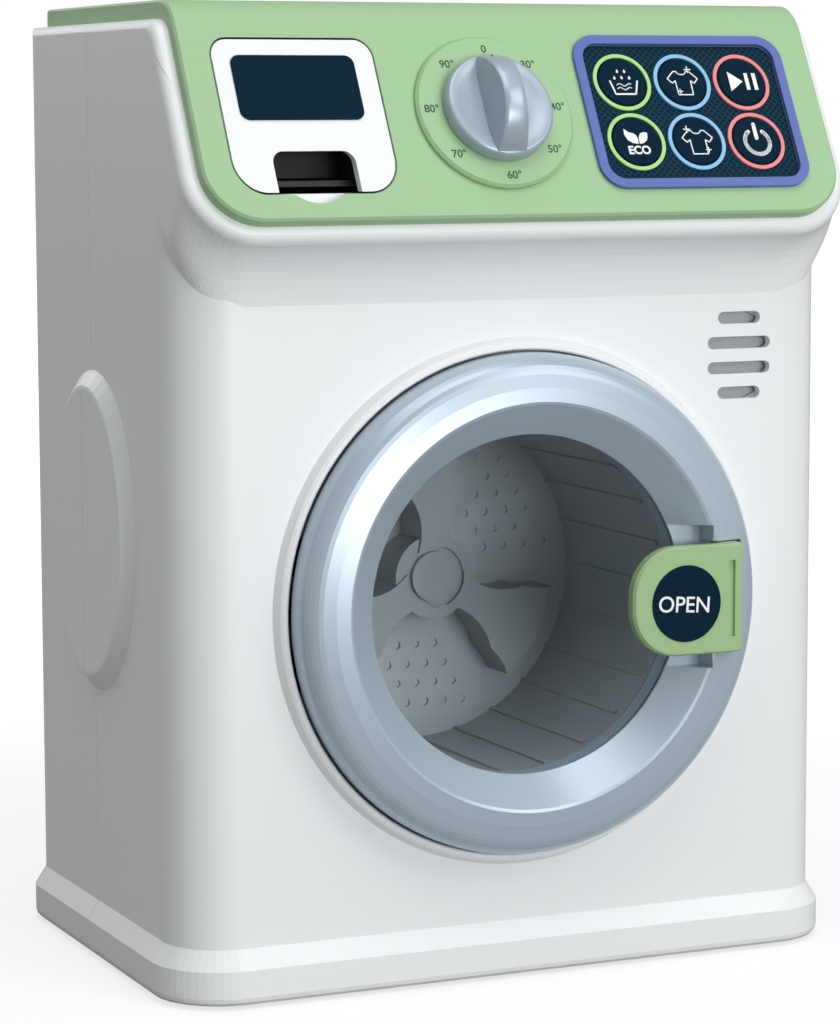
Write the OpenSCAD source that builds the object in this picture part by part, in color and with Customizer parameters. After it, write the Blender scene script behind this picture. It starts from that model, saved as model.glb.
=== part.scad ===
// Toy washing machine: a two-shell cabinet with a leaning console, a hinged
// round door with a sprung handle, and a drum driven by a small motor.
// The model stands on its feet, faces -Y, and is centred on its own box.

/* [Cabinet] */
// Width across the side walls
body_w = 186; // [182:1:192]
// Depth from the front face to the back face
body_d = 119; // [114:1:122]
// Height of the side walls above the floor
side_h = 247.3; // [245:0.1:252]
// Radius of the upright front corners
front_corner_r = 16; // [13:0.5:17]
// Radius of the upright rear corners
rear_corner_r = 9; // [6:0.5:12]
// Radius along the top side edges
top_edge_r = 2.8; // [1.5:0.1:3.4]
// Wall of the two cabinet shells
wall = 2.4; // [2:0.1:2.8]
// Distance from the front face back to the seam between the shells
seam_y = 66; // [64:1:68]
// Shadow gap at the seam
seam_gap = 0.2; // [0.1:0.05:0.4]
// How far the skirt stands out from the walls
skirt_out = 3; // [2:0.1:4]
// Height at which the skirt meets the walls
skirt_h = 15; // [13:0.5:18]
// Height of the skirt's sloped top edge
skirt_slope = 5; // [3:0.5:7]
// Radius along the bottom edge of the skirt
skirt_round = 2.2; // [1:0.1:3]
// Height of the oval pads' centre on the side walls
pad_z = 115; // [105:1:125]
// Half height of the oval side pads
pad_half_h = 42.5; // [36:0.5:46]
// Half length of the oval side pads
pad_half_l = 31.5; // [22:0.5:33]
// How far the side pads stand out
pad_out = 3; // [2:0.1:4]
// Width of the pads' sloped edge
pad_edge = 5; // [3:0.5:7]

/* [Console] */
// Lean of the console face back from upright, in degrees
console_tilt = 28.5; // [27:0.5:30]
// Drop from the wall tops to the line the console is measured from
console_drop = 47.3; // [46:0.1:49]
// How far the green face stands out at that line
console_out = 13.1; // [12:0.1:14]
// Thickness of the green cover on the slope
cover_t = 3.5; // [3:0.1:4]
// Height of the green cover above the wall tops
cover_rise = 4.8; // [4:0.1:6]
// Half width of the green cover
cover_half_w = 88.8; // [88:0.1:90]
// Lower edge of the green cover, up the slope from the line
cover_low = -2; // [-2.5:0.1:-1]
// Radius of the lower corners of the green cover
cover_corner_r = 14.5; // [12:0.5:16]
// Radius of the rear corners of the green cover
cover_rear_r = 8; // [6:0.5:12]
// Radius where the cover bends from the slope to the top
cover_bend_r = 12; // [9:0.5:15]
// Chamfer along the edges of the green cover
cover_bevel = 0.6; // [0.4:0.1:1.4]
// Lower edge of the white rim, up the slope from the line
rim_low = -5.6; // [-6.5:0.1:-5]
// Radius of the lower corners of the white rim
rim_corner_r = 18; // [16:0.5:19]
// Radius along the edge of the white rim
rim_round = 3; // [2:0.1:3.6]
// Height of the hollow under the console, down to the flat front
cove_h = 30; // [24:1:32]

/* [Knob and dial] */
// Sideways place of the dial
dial_x = -7.5; // [-9:0.5:-6]
// Place of the dial up the slope
dial_v = 27; // [25:0.5:28.5]
// Radius of the raised dial disc
dial_r = 21.5; // [20:0.5:22]
// Height of the dial disc above the green face
dial_h = 1.6; // [1:0.1:2.4]
// Radius of the knob's skirt
knob_r = 15; // [14:0.5:16]
// Height of the knob's skirt
knob_skirt_h = 4.4; // [3.6:0.1:5.5]
// Height of the knob's grip above the dial disc
knob_h = 12; // [10:0.5:14]
// Radius of the knob's shaft
knob_shaft_r = 3; // [2.5:0.1:3.5]

/* [Buttons] */
// Left edge of the button frame
frame_x0 = 18.6; // [18:0.1:19.5]
// Width of the button frame
frame_w = 61.3; // [60:0.1:62.5]
// Lower edge of the button frame up the slope
frame_v0 = 5.1; // [4.6:0.1:5.6]
// Height of the button frame along the slope
frame_h = 44.2; // [43.5:0.1:45]
// Width of the frame's band
frame_band = 2.5; // [2:0.1:2.8]
// Height of the frame above the green face
frame_rise = 1.1; // [0.8:0.1:1.6]
// Corner radius of the button frame
frame_corner_r = 7; // [5:0.5:8]
// Radius of each button cap
cap_r = 6.9; // [6.2:0.1:7]
// Width of the light ring round each cap
ring_w = 1.0; // [0.8:0.1:1.1]
// Distance between button columns
cap_pitch_x = 17.6; // [17.2:0.1:18]
// Distance between button rows
cap_pitch_v = 17.3; // [17.2:0.1:18]
// How far a button travels when pressed
cap_travel = 1; // [0.6:0.1:1.2]

/* [Detergent drawer] */
// Left edge of the drawer front
drawer_x0 = -80.5; // [-80.5:0.1:-79.5]
// Width of the drawer front
drawer_w = 43; // [41:0.5:43.5]
// Lower edge of the drawer front up the slope
drawer_v0 = 5.5; // [5:0.1:6]
// Height of the drawer front along the slope
drawer_h = 42.5; // [41:0.5:43]
// Gap round the drawer front
drawer_gap = 0.5; // [0.3:0.1:0.7]
// Width of the finger notch
notch_w = 22; // [18:0.5:24]
// Height of the finger notch along the slope
notch_h = 11.3; // [9:0.1:12]
// Distance that the drawer slides out
drawer_travel = 34; // [28:1:36]
// Length of the drawer's tray
tray_len = 48; // [44:1:50]

/* [Door] */
// Height of the door's centre above the floor
door_z = 98.5; // [97:0.5:100]
// Outer radius of the door ring
door_r = 64.85; // [63.5:0.05:66]
// Radius of the door ring's crest
crest_r = 52.8; // [51.5:0.1:54]
// Radius of the window opening
window_r = 44; // [43:0.5:45]
// How far the door ring's crest stands out from the front face
crest_out = 13; // [12:0.5:13.5]
// Gap between the door ring and the raised lip round it
door_gap = 0.55; // [0.4:0.05:0.8]
// How far the raised lip stands out
lip_out = 3; // [2.5:0.1:3]
// Width of the raised lip at its foot
lip_w = 3.2; // [3:0.1:4]

/* [Handle] */
// Left end of the handle
handle_x0 = 24.2; // [23:0.2:26]
// Right edge of the handle
handle_x1 = 56.4; // [56:0.1:57.5]
// Height of the handle
handle_h = 28.5; // [26:0.5:29]
// Radius of the handle's rounded left end
handle_end_r = 12.5; // [10:0.5:13]
// How far the handle's face stands out from the front face
handle_out = 17.5; // [17:0.1:18.5]
// Thickness of the handle's plate
handle_t = 3.2; // [2.6:0.1:3.4]
// Radius of the badge disc on the handle
badge_r = 10; // [9:0.1:10.5]
// Angle that the handle turns, in degrees
handle_turn = 10; // [8:1:11]

/* [Drum and drive] */
// Inside radius of the drum
drum_r = 46.5; // [45.5:0.5:47]
// Wall of the drum
drum_wall = 1.6; // [1.2:0.1:1.8]
// Outside length of the drum
drum_len = 62; // [60:0.5:62]
// Number of ribs on the drum's wall
drum_ribs = 24; // [18:1:30]
// Height of the three-armed boss on the drum's back
spider_h = 14; // [10:0.5:16]
// Inside radius of the fixed tub
tub_r = 50; // [49.5:0.1:50.5]
// Wall of the tub
tub_wall = 2; // [1.6:0.1:2.2]
// Radius of the drum's shaft
shaft_r = 4; // [3:0.1:4.5]
// Gear tooth size, as pitch diameter per tooth
gear_module = 1; // [0.9:0.05:1.05]
// Teeth on the drum's gear
drum_teeth = 60; // [56:2:60]
// Teeth on the small wheel of the idler
idler_small_teeth = 12; // [12:1:14]
// Teeth on the large wheel of the idler
idler_large_teeth = 36; // [32:1:38]
// Teeth on the motor's pinion
pinion_teeth = 10; // [10:1:12]
// Play between meshing teeth
gear_play = 0.18; // [0.14:0.01:0.24]
// Thickness of the drum's gear
gear_t = 5; // [4:0.5:5.5]

/* [Battery box] */
// Length of one cell
cell_len = 50; // [49:0.1:50.5]
// Radius of one cell
cell_r = 7.1; // [6.8:0.05:7.25]
// Number of cells
cells = 3; // [2:1:3]

/* [Fits and fasteners] */
// Gap between pieces that move past each other
move_gap = 0.3; // [0.3:0.05:0.4]
// Radial clearance of a shaft in its bearing
bearing_gap = 0.05; // [0.03:0.01:0.08]
// Clearance of a fixed piece in its seat
seat_gap = 0.02; // [0.02:0.01:0.04]
// Radius of a screw's shank
screw_r = 1.3; // [1.2:0.05:1.4]
// Radius of a screw's head
screw_head_r = 2.7; // [2.5:0.1:2.8]
// Height of a screw's head
screw_head_h = 1.7; // [1.4:0.1:2]
// Radius of a screw boss
boss_r = 4.4; // [4.1:0.1:4.6]
// Clearance of a screw and its head in a free hole
screw_clear = 0.3; // [0.2:0.05:0.4]
// Thickness of the base plate
base_t = 2.6; // [2.2:0.1:3]
// Radius of a foot
foot_r = 7; // [6:0.5:8]
// Height of the feet below the shells
foot_h = 0.8; // [0.5:0.1:1.2]
// Depth of the seat that holds a foot
foot_seat = 1.2; // [0.8:0.1:1.4]

/* [Hidden] */
$fn = 72;

// Colours as seen on the object
white_c = [0.94, 0.95, 0.96];
green_c = [0.66, 0.80, 0.61];
silver_c = [0.66, 0.73, 0.80];
navy_c = [0.02, 0.16, 0.27];
dark_c = [0.27, 0.28, 0.29];
steel_c = [0.72, 0.72, 0.74];
brass_c = [0.78, 0.62, 0.32];
board_c = [0.12, 0.38, 0.20];

// The whole object is centred front to back on its own box
front_y = (handle_out - body_d - skirt_out) / 2;
half_w = body_w / 2;
console_z = side_h - console_drop;
console_len = (console_drop + cover_rise) / cos(console_tilt);
shell_n = -cover_t;
inner_n = -cover_t - wall;
shell_back_y = body_d - wall;

module place() {
    translate([0, front_y, 0]) children();
}

// Console frame: x across, y up the slope, z out of the green face
module on_console() {
    translate([0, -console_out, console_z]) rotate([90 - console_tilt, 0, 0]) children();
}

// Door frame: x across, y up, z out of the front face
module on_door() {
    translate([0, 0, door_z]) rotate([90, 0, 0]) children();
}

// Turns an upright extrusion so that its height runs back from the front face
module backwards(y) {
    translate([0, y, 0]) rotate([-90, 0, 0]) children();
}

function console_point(x, v, n) = [
    x,
    -console_out + v * sin(console_tilt) - n * cos(console_tilt),
    console_z + v * cos(console_tilt) + n * sin(console_tilt)
];
function slope_y(z, n) = (-n + (z - console_z) * sin(console_tilt)) / cos(console_tilt) - console_out;
function arc(cx, cy, rx, ry, a0, a1, steps) = [
    for (i = [0:steps]) let (a = a0 + (a1 - a0) * i / steps) [cx + rx * cos(a), cy + ry * sin(a)]
];

// Solid between closed rings of equal length, the first ring towards the viewer
module loft(rings) {
    count = len(rings[0]);
    last = len(rings) - 1;
    polyhedron(
        points = [for (ring = rings) each ring],
        faces = concat(
            [[for (i = [count - 1:-1:0]) i]],
            [for (j = [0:last - 1], i = [0:count - 1]) let (k = (i + 1) % count)
                [j * count + i, j * count + k, (j + 1) * count + k]],
            [for (j = [0:last - 1], i = [0:count - 1]) let (k = (i + 1) % count)
                [j * count + i, (j + 1) * count + k, (j + 1) * count + i]],
            [[for (i = [0:count - 1]) last * count + i]]
        )
    );
}

module slab(w, h, r) {
    // Rectangle from the origin with four round corners
    translate([r, 0]) square([w - 2 * r, h]);
    translate([0, r]) square([w, h - 2 * r]);
    for (x = [r, w - r], y = [r, h - r]) translate([x, y]) circle(r);
}

module tube(r_out, r_in, h) {
    difference() {
        cylinder(r = r_out, h = h);
        translate([0, 0, -1]) cylinder(r = r_in, h = h + 2);
    }
}

// Pilot hole that a screw cuts into, and hole that it passes through
module pilot(h) {
    cylinder(r = screw_r + seat_gap, h = h);
}

module free_hole(h) {
    cylinder(r = screw_r + screw_clear, h = h);
}

module head_hole(h) {
    cylinder(r = screw_head_r + screw_clear, h = h);
}

// Pan head screw, head underside at z = 0, shank downwards
module screw(length) {
    color(steel_c) difference() {
        union() {
            cylinder(r = screw_head_r, h = screw_head_h);
            translate([0, 0, -length]) cylinder(r = screw_r, h = length + 0.5);
        }
        for (turn = [0, 90]) rotate(turn)
            translate([-1.6, -0.35, screw_head_h - 0.8]) cube([3.2, 0.7, 2]);
    }
}

// Cabinet outline seen from above, grown by o
module plan(o) {
    w = half_w + o;
    fr = front_corner_r + o;
    rr = rear_corner_r + o;
    translate([-w + fr, -o]) square([2 * (w - fr), fr]);
    translate([-w, front_corner_r]) square([2 * w, body_d - front_corner_r - rear_corner_r]);
    translate([-w + rr, body_d - rear_corner_r - 1]) square([2 * (w - rr), rr + 1]);
    for (s = [-1, 1]) {
        translate([s * (w - fr), front_corner_r]) circle(fr);
        translate([s * (w - rr), body_d - rear_corner_r]) circle(rr);
    }
}

function plan_ring(o, z) = [for (p = concat(
    arc(-half_w + front_corner_r, front_corner_r, front_corner_r + o, front_corner_r + o, 180, 270, 14),
    arc(half_w - front_corner_r, front_corner_r, front_corner_r + o, front_corner_r + o, 270, 360, 14),
    arc(half_w - rear_corner_r, body_d - rear_corner_r, rear_corner_r + o, rear_corner_r + o, 0, 90, 10),
    arc(-half_w + rear_corner_r, body_d - rear_corner_r, rear_corner_r + o, rear_corner_r + o, 90, 180, 10)
)) [p[0], p[1], z]];

module skirt() {
    loft([
        plan_ring(-0.05, skirt_h + 0.1),
        plan_ring(skirt_out, skirt_h - skirt_slope),
        for (a = [0, 30, 60, 90]) plan_ring(skirt_out - skirt_round * (1 - cos(a)),
            foot_h + skirt_round * (1 - sin(a)))
    ]);
}

// Side pad: an oval with a sloped edge, on the right wall or mirrored to the left
module side_pad() {
    function oval(inset, x) = [for (i = [0:47]) let (a = i * 7.5)
        [x, seam_y - 2 + (pad_half_l - inset) * cos(a), pad_z + (pad_half_h - inset) * sin(a)]];
    loft([
        for (step = [[pad_edge, pad_out], [pad_edge * 0.82, pad_out - 0.15], [0.9, 0.5], [0.2, 0.12],
            [0, -wall / 2]])
            [for (p = oval(step[0], half_w + step[1])) [p[0], p[1], p[2]]]
    ]);
}

// Rings of the console's flare: parallel to the slope, from the rim back into the walls
cove_n0 = shell_n - rim_round;
cove_z = console_z - cove_h;
cove_n1 = -console_out * cos(console_tilt) + (cove_z - console_z) * sin(console_tilt);
cove_v1 = console_out * sin(console_tilt) + (cove_z - console_z) * cos(console_tilt) + 1.5;
cove_steps = 10;
cove_dip = 1.9;

function console_ring(n, low, side, rx, rv) = let (
    w = half_w - 0.05 - side,
    high = (side_h + 6 - console_z - n * sin(console_tilt)) / cos(console_tilt),
    ax = rx - side,
    av = rv - side
) [for (p = concat(
    arc(-w + ax, low + av, ax, av, 180, 270, 14),
    arc(w - ax, low + av, ax, av, 270, 360, 14),
    [[w, high], [-w, high]]
)) console_point(p[0], p[1], n)];

module console_flare() {
    deep_r = front_corner_r + 2;
    loft(concat(
        [console_ring(shell_n + 1, rim_low + rim_round, rim_round, rim_corner_r, rim_corner_r)],
        [for (a = [0:15:75]) console_ring(
            shell_n - rim_round * (1 - cos(a)),
            rim_low + rim_round * (1 - sin(a)),
            rim_round * (1 - sin(a)), rim_corner_r, rim_corner_r)],
        [for (i = [0:cove_steps]) let (t = i / cove_steps) console_ring(
            cove_n0 + (cove_n1 - cove_n0) * t,
            rim_low + (cove_v1 - rim_low) * pow(t, 1.7) + cove_dip * sin(180 * t),
            0,
            rim_corner_r + (deep_r - rim_corner_r) * t,
            rim_corner_r - 6 * sin(180 * t) + (deep_r / sin(console_tilt) - rim_corner_r) * pow(t, 5))]
    ));
}

// Side view of everything behind plane n and below height h, with a round bend
module side_profile(n, h, bend) {
    back = body_d + 20;
    polygon(concat(
        [[slope_y(-20, n), -20]],
        arc(slope_y(h - bend, n - bend), h - bend, bend, bend, 180 - console_tilt, 90, 12),
        [[back, h], [back, -20]]
    ));
}

module along_x(w) {
    translate([-w, 0, 0]) rotate([90, 0, 90]) linear_extrude(2 * w) children();
}

// Everything behind the slope and under the wall tops, with round side edges
module shell_limit() {
    function ring(x, d) = [for (p = concat(
        [[body_d + 20, -20], [body_d + 20, side_h - d]],
        arc(slope_y(side_h - shell_bend, shell_n - shell_bend), side_h - shell_bend,
            shell_bend - d, shell_bend - d, 90, 180 - console_tilt, 14),
        [[slope_y(-20, shell_n - d), -20]]
    )) [x, p[0], p[1]]];
    w = half_w + 0.05;
    r = top_edge_r;
    loft(concat(
        [for (a = [0:15:90]) ring(w - r + r * cos(a), r - r * sin(a))],
        [for (a = [90:-15:0]) ring(-w + r - r * cos(a), r - r * sin(a))]
    ));
}

// Space under the wall tops, inset from them
module top_limit(inset) {
    h = side_h - inset;
    w = half_w - inset;
    r = max(top_edge_r - inset, 0.4);
    along_y(-60, body_d + 20) {
        translate([-w, -20]) square([2 * w, 20 + h - r]);
        translate([-w + r, -20]) square([2 * w - 2 * r, 20 + h]);
        for (s = [-1, 1]) translate([s * (w - r), h - r]) circle(r);
    }
}

// Hollow under the console's flare
module flare_hollow() {
    w = half_w - wall;
    low = rim_low + 4.2;
    high = (side_h - console_z) / cos(console_tilt);
    on_console() translate([-w, low, cove_n1 + 3]) linear_extrude(inner_n - cove_n1 - 3)
        slab(2 * w, high + 20 - low, rim_corner_r - wall);
}

shell_bend = 8;

module front_half() {
    translate([-body_w, -60, -10]) cube([2 * body_w, 60 + seam_y - seam_gap / 2, side_h + 60]);
}

module rear_half() {
    translate([-body_w, seam_y + seam_gap / 2, -10]) cube([2 * body_w, body_d, side_h + 60]);
}

// Screw places, as [x, z], for the screws that join the two shells
case_x = half_w - wall - boss_r - 1.3;
case_places = [for (s = [-1, 1], z = [40, 150, side_h - 12]) [s * case_x, z]];
case_screw_len = 14;
case_head_y = seam_y + 8;

// Places of the screws that hold the base plate, as [x, y]
base_places = [for (s = [-1, 1], y = [24, body_d - 16]) [s * (half_w - 14), y]];
base_screw_len = 10;

// Places of the screws that hold the tub, as [x, z from the door's centre]
tub_ear_r = door_r + 9;
tub_places = [for (a = [33, 147, 213, 327]) [tub_ear_r * cos(a), tub_ear_r * sin(a)]];
flange_t = 2;
flange_y1 = wall + flange_t;
tub_ear_y = flange_y1 + 1.6;
tub_ear_t = 2;

// Speaker behind the slots
speaker_x = 64.2;
speaker_z = door_z + 61.8;
speaker_r = 14;
slot_pitch = 6.6;
slot_h = 3.2;
slot_w = [12.7, 18.7, 18.7, 12.7];

// Hinge: the pin lies behind the front wall, left of the door
hinge_x = -door_r - 4.85;
hinge_y = 4.2;
hinge_r = 2.4;
hinge_pin_r = 1.2;
arm_z = [-6.5, 6.5];
arm_h = 6;
ear_t = 2.4;
ear_z = [for (z = arm_z, s = [-1, 1]) z + s * (arm_h / 2 + ear_t / 2 + move_gap)];
bracket_l = 13;
bracket_w = 9;
bracket_pad = 1.6;
bracket_h = 2 * max(ear_z) + ear_t + 14;
bracket_screw_z = [-bracket_h / 2 + 4, bracket_h / 2 - 4];

door_hole_r = door_r + door_gap;

module slots() {
    for (i = [0:3])
        translate([speaker_x - slot_w[i] / 2, 0, speaker_z + (1.5 - i) * slot_pitch - slot_h / 2])
            rotate([90, 0, 0]) translate([0, 0, -wall - 1]) linear_extrude(wall + 3)
                slab(slot_w[i], slot_h, slot_h / 2 - 0.01);
}

// Raised lip round the door
module door_lip() {
    on_door() rotate_extrude() polygon([
        [door_hole_r, -wall],
        [door_hole_r, lip_out - 0.4],
        [door_hole_r + 0.4, lip_out],
        [door_hole_r + 1.4, lip_out],
        [door_hole_r + 2.1, lip_out - 0.5],
        [door_hole_r + lip_w, 0],
        [door_hole_r + lip_w, -wall]
    ]);
}

// Outline of the drawer front as seen from the front, height scaled by the lean
module drawer_outline(grow) {
    low = console_z + drawer_v0 * cos(console_tilt) - grow;
    high = console_z + (drawer_v0 + drawer_h) * cos(console_tilt) + grow;
    r_low = 8 + grow;
    r_high = 4.5 + grow;
    x0 = drawer_x0 - grow;
    x1 = drawer_x0 + drawer_w + grow;
    translate([x0 + r_low, low]) square([x1 - x0 - 2 * r_low, r_low + 1]);
    translate([x0, low + r_low]) square([x1 - x0, high - low - r_low - r_high]);
    translate([x0 + r_high, high - r_high - 1]) square([x1 - x0 - 2 * r_high, r_high + 1]);
    for (x = [x0 + r_low, x1 - r_low]) translate([x, low + r_low]) circle(r_low);
    for (x = [x0 + r_high, x1 - r_high]) translate([x, high - r_high]) circle(r_high);
}

// Extrusion along Y of an outline drawn in x and z
module along_y(y0, y1) {
    translate([0, y1, 0]) rotate([90, 0, 0]) linear_extrude(y1 - y0) children();
}

// Everything behind a plane parallel to the console face
module behind_slope(n) {
    on_console() translate([-200, -200, n - 200]) cube([400, 400, 200]);
}

cap_places = [for (row = [1, 0], col = [0, 1, 2]) [
    frame_x0 + frame_w / 2 + (col - 1) * cap_pitch_x - 0.5,
    frame_v0 + frame_h / 2 + (row - 0.5) * cap_pitch_v
]];
sheet_t = 0.9;
sheet_low = -1;
flange_r = cap_r + 0.9;
flange_h = 1.4;
stem_r = 2.2;
well_r = flange_r + move_gap;
well_low = shell_n - 0.2;
stem_hole_r = 5;
board_top = inner_n - 3.4;
board_t = 1.6;
switch_h = 7;
switch_top = board_top - board_t;
pad_t = 0.9;

board_x0 = dial_x - 17;
board_x1 = frame_x0 + frame_w - 0.5;
board_v0 = 3.5;
board_v1 = 47;
board_places = [for (x = [board_x0 + 4, board_x1 - 4], v = [board_v0 + 4, board_v1 - 4]) [x, v]];

module front_shell() {
    color(white_c) place() difference() {
        union() {
            intersection() {
                union() {
                    translate([0, 0, skirt_h - 2]) linear_extrude(side_h - skirt_h + 4) plan(0);
                    console_flare();
                }
                shell_limit();
                front_half();
            }
            intersection() {
                union() {
                    skirt();
                    side_pad();
                    mirror([1, 0, 0]) side_pad();
                }
                front_half();
            }
            door_lip();
        }
        // Hollow of the cabinet, open at the back and at the bottom
        difference() {
            intersection() {
                union() {
                    translate([0, 0, -1]) linear_extrude(side_h + 1) plan(-wall);
                    flare_hollow();
                }
                along_x(body_w) side_profile(inner_n, side_h - wall, shell_bend - wall);
                top_limit(wall);
            }
            front_bosses();
        }
        front_cuts();
    }
}

module base_bosses(front) {
    for (p = base_places) if ((p[1] < seam_y) == front) {
        translate([p[0], p[1], foot_h + base_t]) cylinder(r = boss_r, h = 14);
        translate([p[0] > 0 ? p[0] : -half_w, p[1] - 1.2, foot_h + base_t])
            cube([half_w - abs(p[0]), 2.4, 14]);
    }
}

module front_bosses() {
    for (p = case_places) translate([p[0], 0, p[1]]) backwards(-30) cylinder(r = boss_r, h = 30 + seam_y);
    base_bosses(true);
    for (p = tub_places) translate([p[0], 0, door_z + p[1]])
        backwards(0) cylinder(r = boss_r, h = tub_ear_y);
    // Pad that the hinge bracket is screwed to
    translate([hinge_x - bracket_l, 0, door_z - bracket_h / 2])
        cube([bracket_w, wall + bracket_pad, bracket_h]);
    // Posts that carry the circuit board
    for (p = board_places) on_console() translate([p[0], p[1], board_top])
        cylinder(r = 2.6, h = inner_n - board_top + 1);
    // Ring that centres the speaker
    translate([speaker_x, 0, speaker_z]) backwards(0) tube(speaker_r + 1.6, speaker_r + seat_gap, wall + 3);
}

module front_cuts() {
    on_door() translate([0, 0, -wall - 1]) cylinder(r = door_hole_r, h = lip_out + wall + 2);
    slots();
    for (p = case_places) translate([p[0], 0, p[1]])
        backwards(seam_y - case_screw_len) pilot(case_screw_len + 1);
    for (p = base_places) if (p[1] < seam_y) translate([p[0], p[1], foot_h]) pilot(base_screw_len + 3);
    for (p = board_places) on_console() translate([p[0], p[1], board_top - 1]) pilot(5);
    for (p = tub_places) translate([p[0], 0, door_z + p[1]]) backwards(1) pilot(tub_ear_y + 1);
    for (z = bracket_screw_z) translate([hinge_x - bracket_l + bracket_w / 2, 0, door_z + z])
        backwards(1) pilot(10);
    // Drawer opening, shaft hole and button stems
    along_y(-40, 20) drawer_outline(drawer_gap);
    on_console() translate([dial_x, dial_v, inner_n - 5]) cylinder(r = knob_shaft_r + move_gap, h = 12);
    for (p = cap_places) on_console() translate([p[0], p[1], inner_n - 1])
        cylinder(r = stem_hole_r, h = wall + 2);
    // Pocket behind the wall for the hinge
    translate([hinge_x - hinge_r - 1, wall - 1, door_z - bracket_h / 2 - 0.5])
        cube([hinge_r + 1 + 5.6, 3, bracket_h + 1]);
}

module rear_shell() {
    color(white_c) place() difference() {
        union() {
            intersection() {
                translate([0, 0, skirt_h - 2]) linear_extrude(side_h - skirt_h + 4) plan(0);
                shell_limit();
                rear_half();
            }
            intersection() {
                union() {
                    skirt();
                    side_pad();
                    mirror([1, 0, 0]) side_pad();
                }
                rear_half();
            }
        }
        difference() {
            intersection() {
                translate([0, 0, -1]) linear_extrude(side_h + 1) plan(-wall);
                top_limit(wall);
            }
            for (p = case_places) translate([p[0], 0, p[1]])
                backwards(seam_y) cylinder(r = boss_r, h = body_d);
            base_bosses(false);
        }
        for (p = case_places) translate([p[0], 0, p[1]]) {
            backwards(seam_y - 1) free_hole(20);
            backwards(case_head_y) head_hole(body_d);
        }
        for (p = base_places) if (p[1] > seam_y) translate([p[0], p[1], foot_h]) pilot(base_screw_len + 3);
    }
}

feet_places = [for (s = [-1, 1], y = [14, body_d - 14]) [s * (half_w - 30), y]];
cell_pitch = 2 * cell_r + 0.6;
box_w = cell_len + 8;
box_d = cells * cell_pitch + 4;
box_y0 = body_d - 14 - box_d;
box_h = 2 * cell_r + 4;
box_wall = 1.6;
cover_lip = 1.2;

module battery_opening(grow) {
    translate([-box_w / 2 + box_wall - grow, box_y0 + box_wall - grow])
        square([box_w - 2 * box_wall + 2 * grow, box_d - 2 * box_wall + 2 * grow]);
}

battery_screw_place = [0, box_y0 - 3.5, 0];

module base_plate() {
    color(white_c) place() difference() {
        translate([0, 0, foot_h]) linear_extrude(base_t) plan(-wall - 0.15);
        for (p = feet_places) translate([p[0], p[1], foot_h - 1])
            cylinder(r = foot_r + seat_gap, h = foot_seat + 1);
        for (p = base_places) translate([p[0], p[1], 0]) {
            free_hole(10);
            head_hole(foot_h + screw_head_h - 0.2);
        }
        translate([0, 0, -1]) linear_extrude(foot_h + base_t + 2) battery_opening(0);
        translate([0, 0, -1]) linear_extrude(foot_h + 1 + cover_lip) {
            battery_opening(2);
            translate([-7, box_y0 - 9]) square([14, 12]);
        }
        translate(battery_screw_place) pilot(10);
    }
}

module battery_cover() {
    color(white_c) place() difference() {
        union() {
            translate([0, 0, foot_h]) linear_extrude(cover_lip - 0.05) {
                battery_opening(2 - 0.15);
                translate([-6.85, box_y0 - 8.85]) square([13.7, 11.7]);
            }
            translate([0, 0, foot_h]) linear_extrude(base_t) battery_opening(-0.2);
        }
        translate(battery_screw_place) {
            free_hole(10);
            head_hole(foot_h + 0.4);
        }
    }
}

module battery_screw() {
    color(steel_c) place() translate(battery_screw_place + [0, 0, foot_h + 0.4]) {
        translate([0, 0, -0.7]) cylinder(r = screw_head_r, h = 0.7);
        translate([0, 0, -0.1]) cylinder(r = screw_r, h = 3.3);
    }
}

module feet() {
    color([0.2, 0.2, 0.21]) place() for (p = feet_places) translate([p[0], p[1], 0]) {
        cylinder(r = foot_r - 0.6, h = 0.6);
        translate([0, 0, 0.5]) cylinder(r = foot_r, h = foot_h + foot_seat - 0.5);
    }
}

module case_screws() {
    place() for (p = case_places) translate([p[0], case_head_y, p[1]]) rotate([-90, 0, 0])
        screw(case_screw_len + 6);
}

module base_screws() {
    place() for (p = base_places) translate([p[0], p[1], foot_h + screw_head_h - 0.2])
        mirror([0, 0, 1]) screw(base_screw_len);
}

module battery_box() {
    z0 = foot_h + base_t;
    color(dark_c) place() difference() {
        translate([-box_w / 2, box_y0, z0]) cube([box_w, box_d, box_h]);
        translate([0, 0, z0 - 1]) linear_extrude(box_h + 1 - box_wall) battery_opening(0);
    }
}

contact_gap = (box_w - 2 * box_wall - cell_len) / 2;

module batteries() {
    color([0.25, 0.45, 0.35]) place() for (i = [0:cells - 1])
        translate([-cell_len / 2, box_y0 + box_d / 2 + (i - (cells - 1) / 2) * cell_pitch,
            foot_h + base_t + 0.3 + cell_r]) rotate([0, 90, 0]) {
            turned = i % 2;
            translate([0, 0, turned]) cylinder(r = cell_r, h = cell_len - 1);
            translate([0, 0, turned == 1 ? 0 : cell_len - 1.5]) cylinder(r = 2.7, h = 1.5);
        }
}

module battery_contacts() {
    color(steel_c) place() for (i = [0:cells - 1], s = [-1, 1])
        translate([s * (box_w / 2 - box_wall), box_y0 + box_d / 2 + (i - (cells - 1) / 2) * cell_pitch,
            foot_h + base_t + 0.3 + cell_r]) rotate([0, -s * 90, 0]) {
            translate([-5, -5, 0]) cube([10, 10, 0.5]);
            for (k = [0:2]) translate([0, 0, 0.4 + k * (contact_gap - 0.55) / 3])
                cylinder(r1 = 3.6 - k * 0.8, r2 = 3.2 - k * 0.8, h = (contact_gap - 0.55) / 3 + 0.01);
        }
}

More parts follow.
